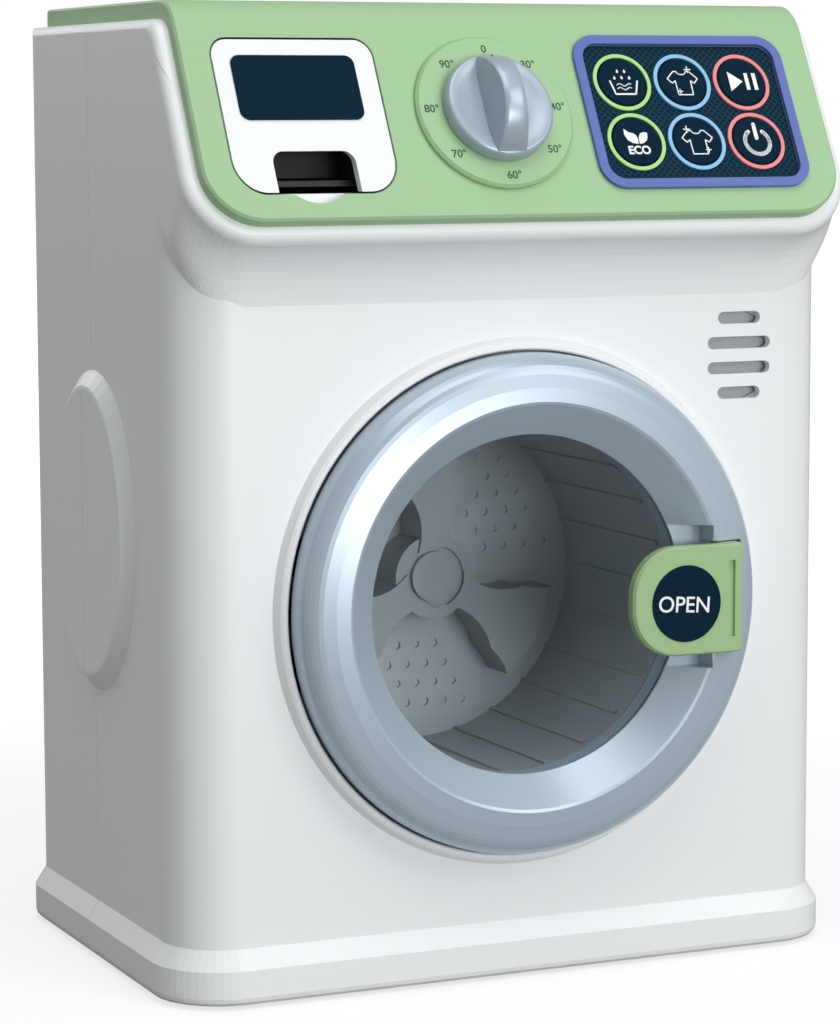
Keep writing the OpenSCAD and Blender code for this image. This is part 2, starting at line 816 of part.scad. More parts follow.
// The green cover lies on the slope and on the wall tops
module cover_slope_outline(inset) {
    w = cover_half_w - inset;
    r = cover_corner_r - inset;
    low = cover_low + inset;
    translate([-w, low + r]) square([2 * w, console_len + 20]);
    translate([-w + r, low]) square([2 * w - 2 * r, r + 1]);
    for (s = [-1, 1]) translate([s * (w - r), low + r]) circle(r);
}

module cover_top_outline(inset) {
    w = cover_half_w - inset;
    r = cover_rear_r - inset;
    back = body_d - 1 - inset;
    translate([-w, -20]) square([2 * w, back - r + 20]);
    translate([-w + r, back - r - 1]) square([2 * w - 2 * r, r + 1]);
    for (s = [-1, 1]) translate([s * (w - r), back - r]) circle(r);
}

module console_cover() {
    top = side_h + cover_rise;
    under = 10;
    color(green_c) place() difference() {
        intersection() {
            union() {
                hull() {
                    on_console() translate([0, 0, -under]) linear_extrude(under - cover_bevel)
                        cover_slope_outline(0, $fn = 48);
                    on_console() translate([0, 0, -under]) linear_extrude(under)
                        cover_slope_outline(cover_bevel, $fn = 48);
                }
                hull() {
                    translate([0, 0, top - under]) linear_extrude(under - cover_bevel)
                        cover_top_outline(0, $fn = 48);
                    translate([0, 0, top - under]) linear_extrude(under)
                        cover_top_outline(cover_bevel, $fn = 48);
                }
            }
            cover_limit(top);
        }
        // The shell under the cover
        along_x(body_w) side_profile(shell_n, side_h, shell_bend);
        cover_cuts();
    }
}

// Everything behind the green face and under its top, with bevelled side edges
module cover_limit(top) {
    function ring(x, d) = [for (p = concat(
        [[body_d + 20, -20], [body_d + 20, top - d]],
        arc(slope_y(top - cover_bend_r, -cover_bend_r), top - cover_bend_r,
            cover_bend_r - d, cover_bend_r - d, 90, 180 - console_tilt, 14),
        [[slope_y(-20, -d), -20]]
    )) [x, p[0], p[1]]];
    w = cover_half_w + 0.03;
    loft([ring(w, cover_bevel), ring(w - cover_bevel, 0), ring(-w + cover_bevel, 0), ring(-w, cover_bevel)]);
}

module cover_cuts() {
    along_y(-40, 40) drawer_outline(drawer_gap);
    // Finger scoop below the drawer's notch
    on_console() translate([drawer_x0 + drawer_w / 2 - 0.5, drawer_v0 + 6.7, shell_n - 1])
        cylinder(r = 9.7, h = 10);
    on_console() {
        translate([dial_x, dial_v, shell_n - 1]) cylinder(r = knob_shaft_r + move_gap, h = 10);
        translate([frame_x0 + frame_band, frame_v0 + frame_band, sheet_low]) linear_extrude(5)
            slab(frame_w - 2 * frame_band, frame_h - 2 * frame_band, frame_corner_r - frame_band);
        for (p = cap_places) translate([p[0], p[1], shell_n - 1]) cylinder(r = well_r, h = 5);
    }
}

module dial_disc() {
    color(green_c) place() on_console() translate([dial_x, dial_v, 0]) difference() {
        union() {
            cylinder(r = dial_r, h = dial_h - 0.7);
            translate([0, 0, dial_h - 0.7]) cylinder(r1 = dial_r, r2 = dial_r - 0.7, h = 0.7);
        }
        translate([0, 0, -1]) cylinder(r = knob_shaft_r + move_gap, h = 10);
    }
}

module button_frame() {
    color([0.35, 0.41, 0.69]) place() on_console() translate([frame_x0, frame_v0, 0]) difference() {
        linear_extrude(frame_rise) slab(frame_w, frame_h, frame_corner_r);
        translate([frame_band, frame_band, -1]) linear_extrude(5)
            slab(frame_w - 2 * frame_band, frame_h - 2 * frame_band, frame_corner_r - frame_band);
    }
}

module button_sheet() {
    inset = frame_band + 0.1;
    color(navy_c) place() on_console() difference() {
        translate([frame_x0 + inset, frame_v0 + inset, sheet_low]) linear_extrude(sheet_t)
            slab(frame_w - 2 * inset, frame_h - 2 * inset, frame_corner_r - inset);
        for (p = cap_places) translate([p[0], p[1], -5]) cylinder(r = cap_r + move_gap, h = 10);
    }
}

// Two light rings of one colour, on the sheet round the caps of one column
module light_rings(column, tint) {
    color(tint) place() on_console() for (i = [column, column + 3])
        translate([cap_places[i][0], cap_places[i][1], sheet_low + sheet_t])
            tube(cap_r + move_gap + ring_w, cap_r + move_gap, 0.5);
}

module ring_green() { light_rings(0, [0.62, 0.84, 0.53]); }
module ring_blue() { light_rings(1, [0.48, 0.72, 0.88]); }
module ring_pink() { light_rings(2, [0.88, 0.55, 0.55]); }

// Button cap: disc through the sheet, flange under it and stem down to the keypad
module cap(i) {
    disc_low = sheet_low - move_gap;
    color([0.05, 0.20, 0.32]) place() on_console() translate([cap_places[i][0], cap_places[i][1], 0]) {
        translate([0, 0, disc_low - 0.01]) cylinder(r = cap_r, h = 0.7 - disc_low - 0.4);
        translate([0, 0, 0.3 - 0.02]) cylinder(r1 = cap_r, r2 = cap_r - 0.4, h = 0.4);
        translate([0, 0, disc_low - flange_h + 0.3]) cylinder(r = flange_r, h = flange_h - 0.3);
        translate([0, 0, stem_low]) cylinder(r = stem_r, h = disc_low - flange_h + 0.4 - stem_low);
    }
}

dome_h = 0.8;
dome_top = board_top + pad_t + dome_h;
stem_low = dome_top + cap_travel + move_gap;

module cap_tub() { cap(0); }
module cap_shirt() { cap(1); }
module cap_play() { cap(2); }
module cap_eco() { cap(3); }
module cap_spin() { cap(4); }
module cap_power() { cap(5); }

module rubber_keypad() {
    color([0.75, 0.75, 0.75]) place() on_console() {
        x0 = cap_places[0][0] - 8;
        v0 = cap_places[3][1] - 8;
        difference() {
            translate([x0, v0, board_top]) cube([2 * cap_pitch_x + 16, cap_pitch_v + 16, pad_t]);
            for (p = board_places) translate([p[0], p[1], board_top - 1]) cylinder(r = 3, h = 5);
        }
        for (p = cap_places) translate([p[0], p[1], board_top + pad_t - 0.01])
            cylinder(r1 = 4, r2 = 2.6, h = dome_h + 0.01);
    }
}

module circuit_board() {
    color(board_c) place() on_console() difference() {
        union() {
            translate([board_x0, board_v0, switch_top])
                cube([board_x1 - board_x0, board_v1 - board_v0, board_t]);
            // Sound chip and two capacitors on the rear
            translate([board_x0 + 40, board_v0 + 14, switch_top - 1.6]) cube([12, 8, 1.7]);
            for (x = [62, 74]) translate([board_x0 + x, board_v0 + 12, switch_top - 8])
                cylinder(r = 2.5, h = 8.1);
        }
        for (p = board_places) translate([p[0], p[1], switch_top - 1]) free_hole(5);
        translate([dial_x, dial_v, switch_top - 1]) cylinder(r = knob_shaft_r + 0.5, h = 5);
    }
}

module board_screws() {
    place() for (p = board_places) on_console() translate([p[0], p[1], switch_top])
        mirror([0, 0, 1]) screw(4.5);
}

module rotary_switch() {
    color(dark_c) place() on_console() translate([dial_x, dial_v, switch_top - switch_h]) difference() {
        translate([-8, -8, 0]) cube([16, 16, switch_h]);
        translate([0, 0, 1]) cylinder(r = knob_shaft_r + bearing_gap, h = switch_h);
    }
}

module knob() {
    base = dial_h + move_gap;
    color(silver_c) place() on_console() translate([dial_x, dial_v, base]) {
        rotate_extrude() polygon(concat(
            [[0, 0], [knob_r, 0]],
            arc(knob_r - 1.4, knob_skirt_h - 1.4, 1.4, 1.4, 0, 90, 5),
            [[knob_r - 2.6, knob_skirt_h - 0.2], [knob_r - 6, knob_skirt_h - 1], [0, knob_skirt_h - 1.2]]
        ));
        knob_grip();
        translate([0, 0, switch_top - switch_h + 1 + move_gap - base])
            cylinder(r = knob_shaft_r, h = base + 0.5 - (switch_top - switch_h + 1 + move_gap));
    }
}

// Grip: a lens outline that narrows upwards, with a domed back
module knob_grip() {
    low = knob_skirt_h - 1.4;
    foot = 5.6;
    crown = 3.9;
    reach = knob_r - 0.2;
    function side(half, z) = let (
        r = (reach * reach + half * half) / (2 * half),
        a = asin(reach / r)
    ) [for (s = [0, 1], i = [0:15]) let (t = 2 * a * i / 16 - a)
        (s == 0 ? [r * cos(t) - r + half, r * sin(t)] : [r - half - r * cos(t), -r * sin(t)])];
    function ring(half, z) = [for (p = side(half, z)) [p[0], p[1], z]];
    intersection() {
        loft([ring(crown, knob_h + 1), ring(foot, low)]);
        cylinder(r = knob_r - 0.6, h = knob_h + 2);
        rotate([90, 0, 90]) translate([0, 0, -10]) linear_extrude(20) intersection() {
            translate([0, knob_h - 46]) circle(46);
            translate([-knob_r, 0]) square([2 * knob_r, knob_h + 1]);
        }
    }
}

// Drawer
front_t = 2.4;
tray_gap = 14;
tray_z0 = console_z + drawer_v0 * cos(console_tilt) + 3;
tray_z1 = console_z + (drawer_v0 + drawer_h) * cos(console_tilt) - 7;
tray_x0 = drawer_x0 + 2.5;
tray_x1 = drawer_x0 + drawer_w - 2.5;
tray_wall = 1.4;
tray_y0 = slope_y(tray_z0, -front_t) + tray_gap;
tray_y1 = tray_y0 + tray_len;
notch_x0 = drawer_x0 + (drawer_w - notch_w) / 2;
notch_top = console_z + (drawer_v0 + notch_h) * cos(console_tilt);

module drawer_front() {
    color(white_c) place() difference() {
        intersection() {
            along_y(-40, 60) drawer_outline(0);
            difference() {
                behind_slope(0);
                behind_slope(-front_t);
            }
        }
        along_y(-60, 60) {
            translate([notch_x0, console_z - 10]) square([notch_w, notch_top - console_z + 10 - 3]);
            translate([notch_x0 + 3, console_z - 10]) square([notch_w - 6, notch_top - console_z + 10]);
            for (x = [notch_x0 + 3, notch_x0 + notch_w - 3]) translate([x, notch_top - 3]) circle(3);
        }
    }
}

module drawer_tray() {
    color([0.86, 0.88, 0.89]) place() difference() {
        intersection() {
            translate([tray_x0, -40, tray_z0])
                cube([tray_x1 - tray_x0, 40 + tray_y1, tray_z1 - tray_z0]);
            behind_slope(-front_t);
        }
        // Two compartments, open at the top
        for (s = [0, 1]) {
            w = (tray_x1 - tray_x0 - 3 * tray_wall) / 2;
            translate([tray_x0 + tray_wall + s * (w + tray_wall), tray_y0 + tray_wall, tray_z0 + tray_wall])
                cube([w, tray_len - 2 * tray_wall, tray_z1]);
        }
        // Room for a finger behind the notch, open below
        translate([notch_x0 - 1, -60, tray_z0 - 1])
            cube([notch_w + 2, 60 + tray_y0, notch_top - tray_z0 + 2]);
        translate([tray_x0 + tray_wall, -60, notch_top + 3])
            cube([tray_x1 - tray_x0 - 2 * tray_wall, 58 + tray_y0, tray_z1]);
    }
}

module drawer_label() {
    color(navy_c) place() on_console() translate([drawer_x0 + 4.5, drawer_v0 + 19.9, 0])
        linear_extrude(0.4) slab(33, 18, 2.5);
}

housing_gap = move_gap + 0.1;
housing_wall = 1.4;

module drawer_housing() {
    y1 = tray_y1 + 1.2;
    x0 = tray_x0 - housing_gap - housing_wall;
    x1 = tray_x1 + housing_gap + housing_wall;
    z0 = tray_z0 - housing_gap - housing_wall;
    z1 = tray_z1 + housing_gap + housing_wall;
    color(dark_c) place() difference() {
        intersection() {
            translate([x0, -40, z0]) cube([x1 - x0, y1 + 40 + housing_wall, z1 - z0]);
            behind_slope(inner_n);
        }
        translate([tray_x0 - housing_gap, -60, tray_z0 - housing_gap])
            cube([tray_x1 - tray_x0 + 2 * housing_gap, y1 + 60, tray_z1 - tray_z0 + 2 * housing_gap]);
    }
}

// Drum and its fixed tub
drum_y0 = 6;
drum_y1 = drum_y0 + drum_len;
tub_back_y = drum_y1 + 2;
bush_r = shaft_r + 2.5;
bush_y0 = tub_back_y - 0.8;
bush_y1 = tub_back_y + tub_wall + 2.6;

module tub() {
    color(dark_c) place() difference() {
        union() {
            on_door() translate([0, 0, -tub_back_y - tub_wall])
                cylinder(r = tub_r + tub_wall, h = tub_back_y + tub_wall - wall - 0.5);
            on_door() translate([0, 0, -flange_y1]) cylinder(r = door_hole_r + 3.4, h = flange_t);
            // Boss of the drum's bearing
            on_door() translate([0, 0, -bush_y1 + 0.6]) cylinder(r = bush_r + 2.4, h = 5);
            tub_posts();
        }
        on_door() translate([0, 0, -tub_back_y]) cylinder(r = tub_r, h = tub_back_y + 1);
        on_door() translate([0, 0, -100]) cylinder(r = bush_r + seat_gap, h = 60);
        for (p = tub_places) on_door() translate([p[0], p[1], -20]) free_hole(30);
        // Notch for the hinge arms and their bracket
        translate([-door_r - 20, -1, door_z - bracket_h / 2 - 0.5])
            cube([door_r + 20 - tub_r - tub_wall - 2.6, flange_y1 + 2, bracket_h + 1]);
        // Slot that the latch hook drops into
        translate([latch_slot_x0, 0, door_z - hook_h / 2 - 0.8])
            cube([latch_slot_x1 - latch_slot_x0, hook_back + 1.2, hook_h + 1.6]);
        // Room for the heads of the door's screws
        for (p = door_screw_places) on_door() translate([p[0], p[1], -flange_y1 - 1])
            cylinder(r = screw_head_r + 0.5, h = flange_t + 2);
        // Pilot holes of the gearbox posts and the seat of the idler's axle
        for (p = post_places) translate([p[0], 0, door_z + p[1]]) backwards(plate_y - 8) pilot(9);
        translate([idler_x, 0, door_z + idler_z]) backwards(tub_back_y + 0.6)
            cylinder(r = axle_r + seat_gap, h = 20);
    }
}

// Gear train: drum gear, compound idler, motor pinion
drum_pitch_r = gear_module * drum_teeth / 2;
small_pitch_r = gear_module * idler_small_teeth / 2;
large_pitch_r = gear_module * idler_large_teeth / 2;
pinion_pitch_r = gear_module * pinion_teeth / 2;
idler_angle = -38;
motor_angle = -14;
idler_x = (drum_pitch_r + small_pitch_r) * cos(idler_angle);
idler_z = (drum_pitch_r + small_pitch_r) * sin(idler_angle);
motor_x = idler_x + (large_pitch_r + pinion_pitch_r) * cos(motor_angle);
motor_z = idler_z + (large_pitch_r + pinion_pitch_r) * sin(motor_angle);
drum_gear_y = bush_y1 + 0.6;
small_y = drum_gear_y - 0.4;
large_y = drum_gear_y + gear_t + 0.6;
large_t = 3.6;
plate_y = large_y + large_t + 1;
plate_t = 2;
axle_r = 1.5;
post_places = [[-26, -34], [34, 28], [-34, 30], [8, -46]];
motor_len = shell_back_y - plate_y - plate_t - 0.4;
motor_r = 10;

module tub_posts() {
    for (p = post_places) translate([p[0], 0, door_z + p[1]])
        backwards(tub_back_y + 0.5) cylinder(r = boss_r, h = plate_y - tub_back_y - 0.5);
    translate([idler_x, 0, door_z + idler_z]) backwards(tub_back_y + 0.5)
        cylinder(r = axle_r + 2, h = small_y - tub_back_y - 0.5 - move_gap);
}

// Short screws: four hold the tub and two the hinge bracket
module tub_screws() {
    places = concat(
        [for (p = tub_places) [p[0], tub_ear_y + tub_ear_t, p[1]]],
        [for (z = bracket_screw_z) [hinge_x - bracket_l + bracket_w / 2, wall + bracket_pad + 1.8, z]]
    );
    place() for (p = places) translate([p[0], p[1], door_z + p[2]]) rotate([-90, 0, 0]) screw(4.4);
}

module drum_bush() {
    color(brass_c) place() on_door() translate([0, 0, -bush_y1])
        tube(bush_r, shaft_r + bearing_gap, bush_y1 - bush_y0);
}

module drum() {
    color(dark_c) place() on_door() difference() {
        union() {
            translate([0, 0, -drum_y1]) cylinder(r = drum_r + drum_wall, h = drum_len);
            translate([0, 0, -drum_y0 - 2]) cylinder(r = drum_r + drum_wall + 0.9, h = 2);
        }
        difference() {
            translate([0, 0, -drum_y1 + drum_wall]) cylinder(r = drum_r, h = drum_len + 10);
            for (i = [0:drum_ribs - 1]) rotate(i * 360 / drum_ribs)
                translate([drum_r - 0.6, -0.5, -drum_y1]) cube([2, 1, drum_len - 3]);
        }
        translate([0, 0, -drum_y1 - 1]) cylinder(r = shaft_r + seat_gap, h = 20);
        // Dimples pressed into the back between the arms
        for (turn = [30, 150, 270], p = dimple_places) rotate(turn)
            translate([p[0], p[1], -drum_y1 + drum_wall - 0.7]) cylinder(r = 1.1, h = 5);
    }
}

dimple_places = [for (row = [0:3], k = [-(row + 2) / 2:(row + 2) / 2]) [20.5 + row * 5.4, k * 5.6]];

module spider_outline() {
    difference() {
        circle(36);
        for (turn = [30, 150, 270]) rotate(turn) {
            translate([24.5, 0]) circle(17);
            translate([38, 0]) circle(24);
        }
    }
}

module drum_spider() {
    back = -drum_y1 + drum_wall;
    color([0.31, 0.32, 0.33]) place() on_door() difference() {
        union() {
            translate([0, 0, back]) linear_extrude(spider_h - 1) spider_outline();
            translate([0, 0, back + spider_h - 1]) linear_extrude(1) intersection() {
                spider_outline();
                circle(34.5);
            }
            translate([0, 0, back]) cylinder(r = 11.5, h = spider_h - 1);
        }
        translate([0, 0, back - 1]) cylinder(r = shaft_r + seat_gap, h = 8);
        // Hollow face of the hub
        translate([0, 0, back + spider_h - 1.5]) tube(8.5, 7, 3);
    }
}

module drum_shaft() {
    color(steel_c) place() on_door() translate([0, 0, -plate_y + move_gap])
        cylinder(r = shaft_r, h = plate_y - move_gap - drum_y1 + drum_wall + 6);
}

// Involute tooth flank, as points out from the base circle
function involute(base, roll) = [
    base * (cos(roll) + roll * PI / 180 * sin(roll)),
    base * (sin(roll) - roll * PI / 180 * cos(roll))
];
function roll_at(base, r) = r <= base ? 0 : sqrt(r * r / (base * base) - 1) * 180 / PI;
function polar_angle(p) = atan2(p[1], p[0]);
pressure_angle = 20;
flank_steps = 3;

// Half of one tooth's outline on its rising side, as [radius, angle] pairs
function tooth_flank(teeth) = let (
    pitch = gear_module * teeth / 2,
    base = pitch * cos(pressure_angle),
    tip = pitch + gear_module * 0.95,
    root = pitch - gear_module * 1.2,
    at_pitch = polar_angle(involute(base, roll_at(base, pitch))),
    half = 90 / teeth - gear_play / 2 / pitch * 90 / PI,
    low = max(root + 0.05, base)
) concat(
    [[root, -half - at_pitch]],
    [for (i = [0:flank_steps]) let (
        r = low + (tip - low) * i / flank_steps,
        a = polar_angle(involute(base, roll_at(base, r)))
    ) [r, -half - at_pitch + a]]
);

module gear_outline(teeth) {
    flank = tooth_flank(teeth);
    last = len(flank) - 1;
    polygon([for (k = [0:teeth - 1], i = [0:2 * last + 1]) let (
        rising = i <= last,
        p = rising ? flank[i] : flank[2 * last + 1 - i],
        a = k * 360 / teeth + (rising ? p[1] : -p[1])
    ) [p[0] * cos(a), p[0] * sin(a)]]);
}

// Turn of a gear that sets its tooth gap on a tooth of the gear it meets
function mesh_turn(direction, teeth_a, turn_a, teeth_b) =
    direction + 180 - (360 / teeth_b) * (0.5 - (direction - turn_a) * teeth_a / 360);

small_turn = mesh_turn(idler_angle, drum_teeth, 0, idler_small_teeth);
pinion_turn = mesh_turn(motor_angle, idler_large_teeth, small_turn, pinion_teeth);

module drum_gear() {
    color([0.90, 0.88, 0.82]) place() on_door() translate([0, 0, -drum_gear_y - gear_t]) difference() {
        union() {
            linear_extrude(gear_t) gear_outline(drum_teeth);
            translate([0, 0, -2]) cylinder(r = shaft_r + 3, h = 3);
        }
        translate([0, 0, -5]) cylinder(r = shaft_r + seat_gap, h = 20);
        for (turn = [30:60:330]) rotate(turn) translate([drum_pitch_r * 0.58, 0, -1])
            cylinder(r = 5.5, h = gear_t + 2);
    }
}

module idler_gear() {
    color([0.90, 0.88, 0.82]) place() on_door() translate([idler_x, idler_z, 0]) difference() {
        rotate(small_turn) {
            translate([0, 0, -large_y - 0.1]) linear_extrude(large_y - small_y + 0.1)
                gear_outline(idler_small_teeth);
            translate([0, 0, -large_y - large_t]) linear_extrude(large_t)
                gear_outline(idler_large_teeth);
        }
        translate([0, 0, -large_y - large_t - 1]) cylinder(r = axle_r + bearing_gap, h = 20);
    }
}

module idler_axle() {
    y0 = tub_back_y + 0.6;
    color(steel_c) place() on_door() translate([idler_x, idler_z, -plate_y - plate_t])
        cylinder(r = axle_r, h = plate_y + plate_t - y0);
}

motor_shaft_r = 1;

module motor_pinion() {
    color(brass_c) place() on_door() translate([motor_x, motor_z, -large_y - large_t - 0.4]) difference() {
        rotate(pinion_turn) linear_extrude(large_t + 0.8) gear_outline(pinion_teeth);
        translate([0, 0, -1]) cylinder(r = motor_shaft_r + bearing_gap, h = 10);
    }
}

module motor() {
    color(steel_c) place() translate([motor_x, 0, door_z + motor_z]) {
        backwards(plate_y + plate_t) intersection() {
            cylinder(r = motor_r, h = motor_len - 1);
            translate([-motor_r, -7.5, 0]) cube([2 * motor_r, 15, motor_len]);
        }
        backwards(plate_y + plate_t + motor_len - 1.1) cylinder(r = 3, h = 1.1);
        backwards(large_y - 0.2) cylinder(r = motor_shaft_r, h = plate_y + plate_t - large_y + 1);
        backwards(plate_y + plate_t - 1.4) cylinder(r = 2.5, h = 1.5);
    }
}

// Flat bar between two places, in the plane of the plate
module bar(p, q, half) {
    d = q - p;
    translate([p[0], -p[1]]) rotate(-atan2(d[1], d[0])) translate([0, -half]) square([norm(d), 2 * half]);
}

module gearbox_plate() {
    idler = [idler_x, idler_z];
    motor_place = [motor_x, motor_z];
    color([0.85, 0.86, 0.88]) place() translate([0, plate_y, door_z]) difference() {
        rotate([-90, 0, 0]) linear_extrude(plate_t) {
            circle(12);
            for (p = post_places) {
                translate([p[0], -p[1]]) circle(6);
                bar([0, 0], p, 4.2);
            }
            translate([idler[0], -idler[1]]) circle(8);
            bar([0, 0], idler, 5.5);
            bar(idler, motor_place, 6.5);
            translate([motor_x, -motor_z]) circle(motor_r + 1);
        }
        for (p = post_places) translate([p[0], -1, p[1]]) backwards(0) free_hole(10);
        translate([0, -1, 0]) backwards(0) cylinder(r = shaft_r + 0.6, h = 10);
        translate([idler_x, -1, idler_z]) backwards(0) cylinder(r = axle_r + seat_gap, h = 10);
        translate([motor_x, -1, motor_z]) backwards(0) cylinder(r = 2.5 + seat_gap, h = 10);
    }
}

module gearbox_screws() {
    place() for (p = post_places) translate([p[0], 0, door_z + p[1]])
        backwards(plate_y + plate_t) screw(plate_t + 6);
}

module speaker() {
    color([0.15, 0.15, 0.16]) place() translate([speaker_x, wall, speaker_z]) backwards(0) {
        tube(speaker_r, speaker_r - 2.2, 1.2);
        translate([0, 0, 1.1]) cylinder(r1 = speaker_r, r2 = 7, h = 3.5);
        translate([0, 0, 4.5]) cylinder(r = 7, h = 4);
    }
}

module speaker_clamp() {
    color(steel_c) place() translate([speaker_x, wall + 4.62, speaker_z]) difference() {
        union() {
            translate([-speaker_r - 4, 0, -3]) cube([2 * speaker_r + 8, 1, 6]);
            backwards(0) cylinder(r = 9.5, h = 1);
        }
        translate([0, -1, 0]) backwards(0) cylinder(r = 7.05, h = 3);
    }
}

// Hinge
module hinge_bracket() {
    x0 = hinge_x - bracket_l;
    y0 = wall + bracket_pad;
    color(white_c) place() difference() {
        union() {
            translate([x0, y0, door_z - bracket_h / 2]) cube([bracket_w, 1.8, bracket_h]);
            for (z = ear_z) translate([x0, 0, door_z + z - ear_t / 2]) {
                translate([0, y0, 0]) cube([bracket_l, hinge_y + hinge_r - y0, ear_t]);
                translate([bracket_l, hinge_y, 0]) cylinder(r = hinge_r, h = ear_t);
            }
        }
        translate([hinge_x, hinge_y, door_z - 60]) cylinder(r = hinge_pin_r + seat_gap, h = 120);
        for (z = bracket_screw_z) translate([x0 + bracket_w / 2, y0 - 1, door_z + z])
            backwards(0) free_hole(4);
    }
}

module hinge_pin() {
    z0 = min(ear_z) - ear_t / 2;
    color(steel_c) place() translate([hinge_x, hinge_y, door_z + z0])
        cylinder(r = hinge_pin_r, h = max(ear_z) + ear_t / 2 - z0);
}

// Door ring: revolved shell with a hollow back
ring_wall = 2.2;
pane_r = window_r + 2.6;
pane_out = 3.3;
pane_t = 1.6;
back_chamfer = 3.1;

module door_profile() {
    polygon(concat(
        [[window_r, pane_out + pane_t], [window_r, pane_out + pane_t + 0.8],
            [crest_r - 0.8, crest_out - 0.35], [crest_r, crest_out]],
        [[crest_r + 3.6, crest_out - 0.5]],
        arc(door_r - 6.5, crest_out - 7.2, 6.5, 6.1, 78, 0, 7),
        [[door_r, lip_out + 0.15], [door_r - back_chamfer, 0]],
        [[pane_r + 0.1, 0], [pane_r + 0.1, pane_out + pane_t]]
    ));
}

barrel_r = 2.6;
pivot_x = handle_x1 - barrel_r;
pivot_out = 9.3;
handle_pin_r = 1;
hook_h = 7;
hook_back = flange_y1 + move_gap + 2.4;
latch_slot_x0 = pivot_x - 2.5 - (pivot_out + hook_back) * sin(handle_turn);
latch_slot_x1 = pivot_x + barrel_r;

module door_ring() {
    color(silver_c) place() on_door() difference() {
        rotate_extrude() door_profile();
        // Hollow of the ring, left solid where the handle turns
        difference() {
            rotate_extrude() polygon([
                [pane_r + ring_wall, -1], [pane_r + ring_wall, 4], [crest_r, crest_out - ring_wall - 0.4],
                [crest_r + 4, crest_out - ring_wall - 1], [door_r - ring_wall - 2.2, 7],
                [door_r - ring_wall - 1.2, 3.6], [door_r - ring_wall - 2.4, -1]
            ]);
            translate([40, -handle_h / 2 - 6, -2]) cube([40, handle_h + 12, 30]);
            for (p = door_screw_places) translate([p[0], p[1], -2]) cylinder(r = 3.4, h = 14);
        }
        // Window that the handle's root turns in
        translate([pivot_x - 4.2, -handle_h / 2 - move_gap, -5])
            cube([handle_x1 + 2.2 - pivot_x + 4.2, handle_h + 2 * move_gap, 30]);
        // Finger pocket behind the handle
        translate([window_r - 10, -handle_h / 2 - 4.5, pane_out + pane_t + 0.9])
            cube([pivot_x - window_r + 6, handle_h + 9, 20]);
        translate([pivot_x, -handle_h / 2 - 5, pivot_out]) rotate([-90, 0, 0])
            cylinder(r = handle_pin_r + seat_gap, h = handle_h + 10);
        for (p = door_screw_places) translate([p[0], p[1], -1]) pilot(7);
    }
}

door_screw_r = 55.5;
door_screw_places = [for (a = [55, 125, 235, 305]) [door_screw_r * cos(a), door_screw_r * sin(a)]];
inner_t = 1.8;

// Inner ring: clamps the window and carries the two goose-neck hinge arms
module door_inner_ring() {
    out_r = door_r - back_chamfer - 2.2;
    color(silver_c) place() difference() {
        union() {
            on_door() rotate_extrude() polygon([
                [window_r + 0.4, -inner_t], [window_r + 0.4, pane_out], [pane_r - 0.2, pane_out],
                [pane_r - 0.2, 0], [out_r, 0], [out_r, -inner_t + 0.6], [out_r - 0.6, -inner_t]
            ]);
            for (z = arm_z) translate([0, 0, door_z + z - arm_h / 2]) hinge_arm();
        }
        translate([hinge_x, hinge_y, door_z - 60]) cylinder(r = hinge_pin_r + bearing_gap, h = 120);
        for (p = door_screw_places) translate([p[0], 0, door_z + p[1]]) backwards(-3) free_hole(8);
        // Slot that the latch hook passes through
        translate([latch_slot_x0 - 0.6, -5, door_z - hook_h / 2 - 0.8])
            cube([latch_slot_x1 - latch_slot_x0 + 1.2, 10, hook_h + 1.6]);
    }
}

neck_back = 6.6;
neck_right = 11.5;
neck_t = 2.4;

module hinge_arm() {
    strut = 2 * hinge_r - 0.8;
    translate([hinge_x, hinge_y, 0]) cylinder(r = hinge_r, h = arm_h);
    translate([hinge_x - strut / 2, hinge_y, 0]) cube([strut, neck_back + neck_t / 2, arm_h]);
    translate([hinge_x - strut / 2, hinge_y + neck_back - neck_t / 2, 0])
        cube([neck_right + strut / 2, neck_t, arm_h]);
    translate([hinge_x + neck_right - neck_t, 0, 0])
        cube([neck_t, hinge_y + neck_back + neck_t / 2, arm_h]);
    translate([hinge_x + neck_right - neck_t, 0, 0]) cube([neck_t + 4, inner_t, arm_h]);
}

module door_window() {
    color([0.55, 0.58, 0.60, 0.35]) place() on_door() translate([0, 0, pane_out])
        cylinder(r = pane_r, h = pane_t);
}

module door_screws() {
    place() for (p = door_screw_places) translate([p[0], 0, door_z + p[1]])
        backwards(inner_t) screw(inner_t + 5);
}

module handle_pin() {
    color(steel_c) place() on_door() translate([pivot_x, -handle_h / 2 - 4, pivot_out]) rotate([-90, 0, 0])
        cylinder(r = handle_pin_r, h = handle_h + 8);
}

spring_v0 = hook_h / 2 + 2;
spring_turns = 5;
spring_wire = 0.45;

module handle_spring() {
    coil_r = 1.75;
    color(steel_c) place() on_door() translate([pivot_x, spring_v0 + spring_wire, pivot_out])
        rotate([-90, 0, 0]) {
            for (i = [0:spring_turns - 1]) translate([0, 0, i * spring_wire * 1.9])
                rotate_extrude() translate([coil_r, 0]) circle(spring_wire, $fn = 16);
            // Leg that presses on the ring
            translate([coil_r, 0, 0]) rotate([-90, 0, 0])
                cylinder(r = spring_wire, h = pivot_out - 0.02, $fn = 16);
        }
}

